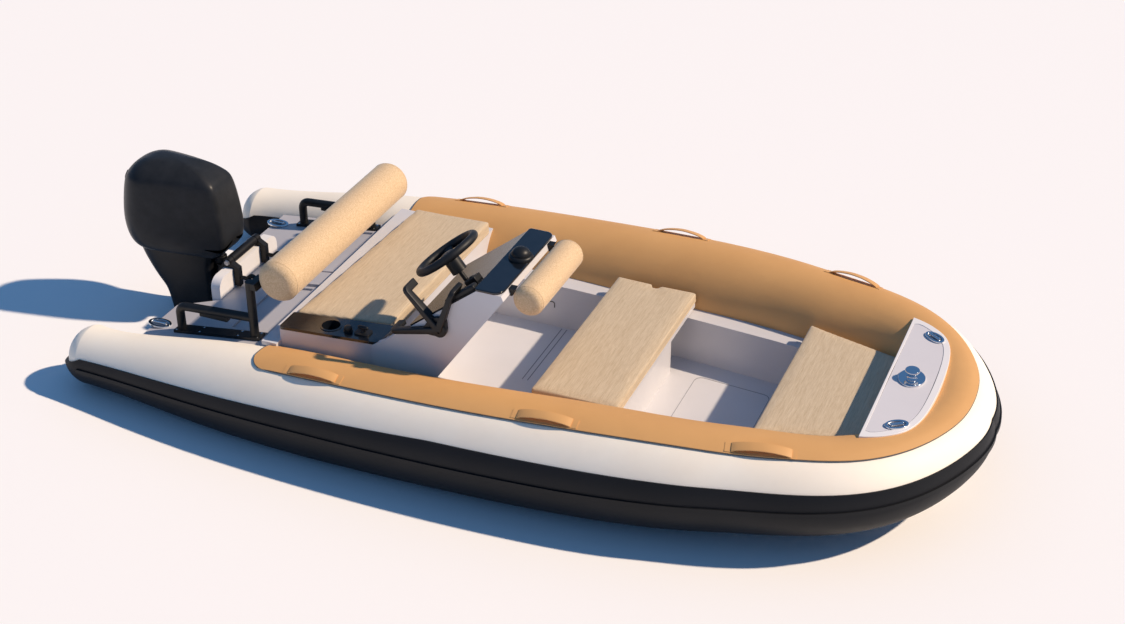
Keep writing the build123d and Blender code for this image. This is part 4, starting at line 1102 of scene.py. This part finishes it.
def make_console():
    """The flat top and the sloping helm panel with the white wedge that carries it."""
    top = plate(rounded(TOP_CORNERS, TOP_RADII, 7), *TOP_Z)
    piece("console_top", *top, "hull", "gloss_black", ("dash_panel",), edge=0.0035)
    low_y, high_y = PANEL_Y
    outline = rounded(((0.0, low_y), (1.0, low_y), (1.0, high_y), (0.0, high_y)), PANEL_RADII, 6)
    panel = loft([[panel_point(*p, lift) for p in outline] for lift in PANEL_LIFTS])
    piece("helm_panel", *panel, "hull", "gloss_black", edge=0.002, material=HELM_GLOSS)
    wedge = []
    for y in WEDGE_Y:
        upper = [panel_point(share, y, -0.005) for share in WEDGE_SHARES]
        wedge.append(upper + [Vector((x, y, z)) for x, z in WEDGE_LOW])
    # The wedge takes the liner's darker white, painted shade
    piece("panel_wedge", *loft(wedge), "hull", "white_gelcoat", material=LINER_WHITE_PAINTED_SHADE)


KEY_BLOCK = ((0.70, -0.406), (0.85, -0.406), (0.85, -0.364), (0.70, -0.364))
KEY_BLOCK_LIFTS = (0.001, 0.022)
KEY_AT = (0.775, -0.385, 0.021)
KEY_PROFILE = ((0, 0), (0.0105, 0), (0.0105, 0.004), (0.0075, 0.005), (0, 0.005))
COMPASS_AT = (1.706, -0.245, 0.7055)
BEZEL_PROFILE = ((0, 0), (0.044, 0), (0.044, 0.008), (0.040, 0.014), (0.036, 0.016), (0, 0.016))
DOME_RADIUS = 0.034
DOME_FOOT = (0.015, 0.017)
DOME_HEIGHT = 0.026
DOME_STEPS = 8
BAR_Y = -0.476
BAR_SHARES = (0.55, 0.58, 0.75, 0.94, 0.965)
BAR_SIZES = (0.8, 1, 1, 1, 0.8)
BAR_LIFT = 0.008
BAR_SECTION = (0.034, 0.022, 0.006)


def make_console_fittings():
    """A key block beside the wheel's shaft, the compass, and the bar along the panel's edge."""
    block = [[panel_point(*corner, lift) for corner in KEY_BLOCK] for lift in KEY_BLOCK_LIFTS]
    key = turned(KEY_PROFILE, panel_point(*KEY_AT), PANEL_NORMAL, 24)
    joined_piece("key_block", (loft(block), key), "hull", "black_fitting", edge=0.003)
    piece("compass_bezel", *turned(BEZEL_PROFILE, COMPASS_AT), "hull", "black_fitting", ("compass",))
    dome = [(DOME_RADIUS, height) for height in DOME_FOOT]
    for step in range(1, DOME_STEPS + 1):
        angle = pi / 2 * step / DOME_STEPS
        dome.append((DOME_RADIUS * cos(angle), DOME_FOOT[1] + DOME_HEIGHT * sin(angle)))
    piece("compass_dome", *turned(dome, COMPASS_AT), "hull", "black_fitting")
    path = [panel_point(share, BAR_Y, BAR_LIFT) for share in BAR_SHARES]
    bar = sweep(path, oblong(*BAR_SECTION), sizes=BAR_SIZES)
    piece("console_edge_bar", *bar, "hull", "black_fitting", edge=0.002)


ARM_Z = (0.3735, 0.385)
ARM_CORNERS = ((0.862, -0.532), (1.238, -0.494), (1.252, -0.478), (1.252, -0.366), (0.862, -0.422))
ARM_RADII = (0.010, 0.008, 0.008, 0.008, 0.008)
CUP_AT = (1.037, -0.455)
CUP_RADIUS = 0.036
CUP_LINER = (
    (0, -0.060), (0.0357, -0.060), (0.0357, 0), (0.0405, 0.0004), (0.0405, 0.0026),
    (0.0345, 0.0030), (0.0332, -0.002), (0.0332, -0.056), (0, -0.056),
)


def holed_plate(outline, hole, z0, z1):
    """A plate with one hole, its flat faces filled with triangles."""
    work = bmesh.new()
    loops = []
    for plan in (outline, hole):
        verts = [work.verts.new((p[0], p[1], z1)) for p in plan]
        edges = [work.edges.new((verts[k], verts[(k + 1) % len(verts)])) for k in range(len(verts))]
        loops.append((verts, edges))
    bmesh.ops.triangle_fill(work, edges=loops[0][1] + loops[1][1], use_beauty=True)
    work.verts.ensure_lookup_table()
    work.verts.index_update()
    verts = [v.co.copy() for v in work.verts]
    faces = [tuple(v.index for v in f.verts) for f in work.faces]
    rims = [[v.index for v in loop[0]] for loop in loops]
    work.free()
    count = len(verts)
    verts += [Vector((v.x, v.y, z0)) for v in verts]
    faces += [tuple(count + index for index in reversed(face)) for face in faces]
    for rim in rims:
        for index, low in enumerate(rim):
            after = rim[(index + 1) % len(rim)]
            faces.append((low, after, count + after, count + low))
    return verts, faces


KNOB_AT = (1.112, -0.463)
KNOB_PROFILE = (
    (0, 0), (0.0175, 0), (0.0175, 0.003), (0.0145, 0.004), (0.0155, 0.014), (0.0135, 0.019),
    (0.008, 0.0215), (0, 0.022),
)
T_AT = Vector((1.170, -0.455, ARM_Z[1]))
T_BASE_HALF = (0.029, 0.023)
T_BASE_HEIGHT = 0.006
T_STEM = ((0, 0), (0.011, 0), (0.008, 0.006), (0.008, 0.018), (0, 0.018))
T_BASE_CORNER = 0.009
T_GRIP_RADIUS = 0.0075
T_GRIP_HALF = 0.020
T_GRIP_HEIGHT = 0.0235
T_GRIP_WAYS = (-1, -0.84, -0.4, 0, 0.4, 0.84, 1)
T_GRIP_SIZES = (0.55, 0.9, 1, 1, 1, 0.9, 0.55)


def make_armrest():
    """The armrest's dark top with its cup recess, a knob and a T control on a square base."""
    outline = rounded(ARM_CORNERS, ARM_RADII, 4)
    top = holed_plate(outline, oval(CUP_RADIUS, CUP_RADIUS, 40, CUP_AT), *ARM_Z)
    piece("armrest_top", *top, "hull", "gloss_black", ("armrest_panel",), edge=0.0015)
    piece("cup_liner", *turned(CUP_LINER, (*CUP_AT, ARM_Z[1]), steps=48), "hull", "gloss_black")
    x, y = T_BASE_HALF
    corners = [(T_AT.x + a * x, T_AT.y + b * y) for a, b in ((-1, -1), (1, -1), (1, 1), (-1, 1))]
    grip = [T_AT + Vector((T_GRIP_HALF * way, 0, T_GRIP_HEIGHT)) for way in T_GRIP_WAYS]
    parts = (
        turned(KNOB_PROFILE, (*KNOB_AT, ARM_Z[1])),
        plate(rounded(corners, [T_BASE_CORNER] * 4, 4), ARM_Z[1], ARM_Z[1] + T_BASE_HEIGHT),
        turned(T_STEM, T_AT + Vector((0, 0, T_BASE_HEIGHT))),
        sweep(grip, circle(T_GRIP_RADIUS), sizes=T_GRIP_SIZES),
    )
    joined_piece("armrest_controls", parts, "hull", "black_fitting", ("armrest_fittings",))


# ---- decks and floor
DECK_HEIGHT = 0.392
BOW_PLAN = ((2.990, 0.405), (3.060, 0.372), (3.124, 0.313), (3.158, 0.225), (3.172, 0.090))
BOW_MIDDLE = Vector((2.820, 0))
BOW_OUTLINE_POINTS = 84
# Outlines drawn in: round the curve, along the aft edge, corner
RIM_INSETS = (-0.003, -0.001, 0.002)
PANEL_INSETS = (0.024, 0.010, 0.012)
RIM_RISE = 0.0035
RIM_DEPTH = 0.020
PANEL_SINK = 0.0012
GROOVE_Z = 0.0008
UNDER_DECK = 0.001
GROOVE_WIDTH = 0.0022
BOLLARD_X = 3.073
BOLLARD_BASE_HALF = (0.047, 0.056)
BOLLARD_PROFILE = (
    (0, 0), (0.022, 0), (0.0185, 0.004), (0.0165, 0.010), (0.0170, 0.019), (0.0245, 0.024),
    (0.0265, 0.029), (0.0250, 0.033), (0.020, 0.0345), (0, 0.035),
)
# Bow cleats: side, x, y, turn in degrees, replaced node
BOW_CLEATS = (("port", 3.090, 0.294, 55, ("bow_cleats",)), ("starboard", 3.090, -0.296, -55, ()))
BOW_CLEAT_SIZE = 0.84


def smooth_curve(points, steps):
    """A curve through all the points of an open plan line."""
    ends = [points[0] * 2 - points[1]] + points + [points[-1] * 2 - points[-2]]
    out = []
    for p0, p1, p2, p3 in zip(ends, ends[1:], ends[2:], ends[3:]):
        for step in range(steps):
            t = step / steps
            squared, cubed = p0 * 2 - p1 * 5 + p2 * 4 - p3, p1 * 3 - p0 - p2 * 3 + p3
            out.append((p1 * 2 + (p2 - p0) * t + squared * t**2 + cubed * t**3) / 2)
    return out + [points[-1]]


def respaced(points, count):
    """The same closed outline with a set number of evenly spaced points."""
    closed = points + [points[0]]
    steps = [(b - a).length for a, b in zip(closed, closed[1:])]
    total = sum(steps)
    out, index, passed = [], 0, 0.0
    for number in range(count):
        goal = total * number / count
        while passed + steps[index] < goal:
            passed += steps[index]
            index += 1
        out.append(closed[index].lerp(closed[index + 1], (goal - passed) / steps[index]))
    return out


def drawn_in(points, centre, distance):
    """An outline moved towards a middle point, or away from it where the distance is negative."""
    return [p + (centre - p).normalized() * distance for p in points]


def bow_outline(inset, aft_inset, corner):
    """The bow deck's outline, drawn in by one distance round the curve and another along the aft edge."""
    port = [Vector(p) for p in BOW_PLAN]
    curve = smooth_curve(port + [Vector((p.x, -p.y)) for p in reversed(port)], 5)
    aft_x = BOW_PLAN[0][0] + aft_inset
    kept = [p for p in drawn_in(curve, BOW_MIDDLE, inset) if p.x > aft_x + corner]

    def cut(y, way_x, way_y):
        return Vector((aft_x + corner * way_x, y + corner * way_y))

    port = [cut(kept[0].y, *way) for way in ((0, -0.4), (0.3, 0.15))]
    starboard = [cut(kept[-1].y, *way) for way in ((0.3, -0.15), (0, 0.4))]
    return respaced(port + kept + starboard, BOW_OUTLINE_POINTS)


def make_bow():
    """A grey panel set in a raised white rim, with its bollard and two pop up cleats."""
    top, under = DECK_HEIGHT + RIM_RISE, DECK_HEIGHT - UNDER_DECK
    outer = bow_outline(*RIM_INSETS)
    panel = bow_outline(*PANEL_INSETS)
    wide = drawn_in(panel, plan_centre(panel), -GROOVE_WIDTH)
    rim = ring_plate(outer, wide, DECK_HEIGHT - RIM_DEPTH, top)
    piece("bow_rim", *rim, "hull", "white_gelcoat", edge=0.0015)
    grey = plate(panel, under, top - PANEL_SINK)
    piece("bow_panel", *grey, "hull", "white_gelcoat", material=GREY_PANEL)
    # The groove between rim and panel is near black: painted shade in the groove
    groove = ring_plate(wide, panel, under, DECK_HEIGHT + GROOVE_Z)
    piece("bow_panel_groove", *groove, "hull", "white_gelcoat", material=SHADE_DARK)
    base = plate(oval(*BOLLARD_BASE_HALF, 48, (BOLLARD_X, 0)), top - 0.002, top + 0.006)
    post = turned(BOLLARD_PROFILE, (BOLLARD_X, 0, top + 0.005))
    joined_piece("bollard", (base, post), "hull", "chrome", ("bow_bollard",), edge=0.002)
    for side_name, x, y, turn, replaces in BOW_CLEATS:
        at = Vector((x, y, top - 0.001))
        make_popup_cleat(f"bow_cleat_{side_name}", at, radians(turn), replaces, BOW_CLEAT_SIZE)


# Pop up cleat: half width and half length of each oval, in metres at size 1
CLEAT_OUTER = (0.030, 0.050)
CLEAT_INNER = (0.021, 0.039)
CLEAT_DISH = (0.0215, 0.0395)
CLEAT_RING_HEIGHT = 0.007
CLEAT_DISH_HEIGHT = 0.0025
CLEAT_BAR_HALF = 0.030
CLEAT_BAR_HEIGHT = 0.006
CLEAT_BAR_RADIUS = 0.0065
CLEAT_BAR_WAYS = (-1, -0.9, -0.4, 0, 0.4, 0.9, 1)
CLEAT_BAR_SIZES = (0.6, 1, 0.85, 0.8, 0.85, 1, 0.6)


def make_popup_cleat(name, at, turn, replaces=(), size=1.0):
    """An oval plate with a raised oval ring and a folded bar in it."""

    def edge_of(half_width, half_length):
        return [at.xy + rotated(x, y, turn) for x, y in oval(half_width * size, half_length * size, 40)]

    ring = ring_plate(edge_of(*CLEAT_OUTER), edge_of(*CLEAT_INNER), at.z, at.z + CLEAT_RING_HEIGHT)
    dish = plate(edge_of(*CLEAT_DISH), at.z, at.z + CLEAT_DISH_HEIGHT)
    reach = Vector((-sin(turn), cos(turn), 0)) * CLEAT_BAR_HALF * size
    middle = at + Vector((0, 0, CLEAT_BAR_HEIGHT))
    path = [middle + reach * way for way in CLEAT_BAR_WAYS]
    bar = sweep(path, circle(CLEAT_BAR_RADIUS), sizes=CLEAT_BAR_SIZES)
    joined_piece(name, (ring, bar), "hull", "chrome", replaces, edge=0.0015)
    piece(f"{name}_dish", *dish, "hull", "chrome", material=MATERIALS["motor_metal"])


DECK_AFT_Z = 0.160
DECK_SLOPE = 0.137
STERN_CLEAT = (0.262, 0.440)
CLEAT_SEAT = 0.004
RAIL_FEET_X = (0.366, 0.470, 0.640, 0.724)
RAIL_Y = 0.461
RAIL_SCREW_OFFSET = 0.017
RAIL_PLATE_HEIGHT = 0.012
RAIL_SCREW_AXIS = (-0.135, 0, 1)
RAIL_SCREW = ((0, -0.002), (0.0045, -0.002), (0.0045, 0.001), (0.002, 0.0018), (0, 0.0018))


def deck_level(x):
    return DECK_AFT_Z + DECK_SLOPE * x


def make_stern_fittings():
    """A pop up cleat on each side of the sloping aft deck, and the screw heads of the rails' feet."""
    x, y = STERN_CLEAT
    for side, side_name in SIDES:
        at = Vector((x, side * y, deck_level(x) + CLEAT_SEAT))
        make_popup_cleat(f"stern_cleat_{side_name}", at, radians(90), ("stern_cleats",) if side > 0 else ())
        screws = []
        for foot_x in RAIL_FEET_X:
            for offset in (-RAIL_SCREW_OFFSET, RAIL_SCREW_OFFSET):
                foot = (foot_x, side * RAIL_Y + offset, deck_level(foot_x) + RAIL_PLATE_HEIGHT)
                screws.append(turned(RAIL_SCREW, foot, RAIL_SCREW_AXIS, 16))
        joined_piece(f"rail_screws_{side_name}", screws, "hull", "chrome")


FLOOR_LEVEL = 0.030
JOINT_Z = (FLOOR_LEVEL - 0.001, FLOOR_LEVEL + 0.0006)
JOINTS_X = (1.600, 1.622)
JOINT_WIDTH = 0.0035
JOINT_Y = (-0.020, 0.375)
HATCH_CORNERS = ((2.215, -0.260), (2.520, -0.235), (2.520, 0.235), (2.215, 0.260))
HATCH_MIDDLE = Vector((2.37, 0))
HATCH_CORNER = 0.03
HATCH_GAP = 0.003
PULL_CORNERS = ((1.500, 0.2, 0.143), (1.566, 0.2, 0.143), (1.566, 0.2, 0.118))


def make_floor_lines():
    """Shallow double joint across the cockpit floor, the edge of its hatch, and a near-black cord of painted
    shade that marks a recessed wall pull.
    """
    strips = []
    y0, y1 = JOINT_Y
    for x in JOINTS_X:
        strips.append(plate(((x, y0), (x + JOINT_WIDTH, y0), (x + JOINT_WIDTH, y1), (x, y1)), *JOINT_Z))
    outer = rounded(HATCH_CORNERS, [HATCH_CORNER] * 4, 6)
    strips.append(ring_plate(outer, drawn_in(outer, HATCH_MIDDLE, HATCH_GAP), *JOINT_Z))
    joined_piece("floor_joints", strips, "hull", "white_gelcoat", material=JOINT_GREY)
    skin = node_skin("inner_liner")
    hits = [skin.ray_cast(start, Vector((0, 1, 0)), 0.4)[0] for start in bend(PULL_CORNERS, 0.010, 5)]
    path = [hit for hit in hits if hit is not None]
    if len(path) > 2:
        pull = sweep(path, circle(0.0022, 8), (0, 1, 0))
        # The pull's cord is painted shade for its recess
        piece("wall_pull", *pull, "hull", "white_gelcoat", material=SHADE_DARK)


make_camera()
make_world()
make_sun()
make_floor()
paint_nodes()
make_handles()
make_pad_edge_shade()
make_cushions()
make_bolster("rear_roll", *REAR_BOLSTER, "rear_bolster")
make_bolster("front_roll", *FRONT_BOLSTER, "front_bolster")
make_cowl_details(make_cowl())
make_leg()
make_clamp()
make_wheel()
make_levers()
make_console()
make_console_fittings()
make_armrest()
make_bow()
make_stern_fittings()
make_floor_lines()
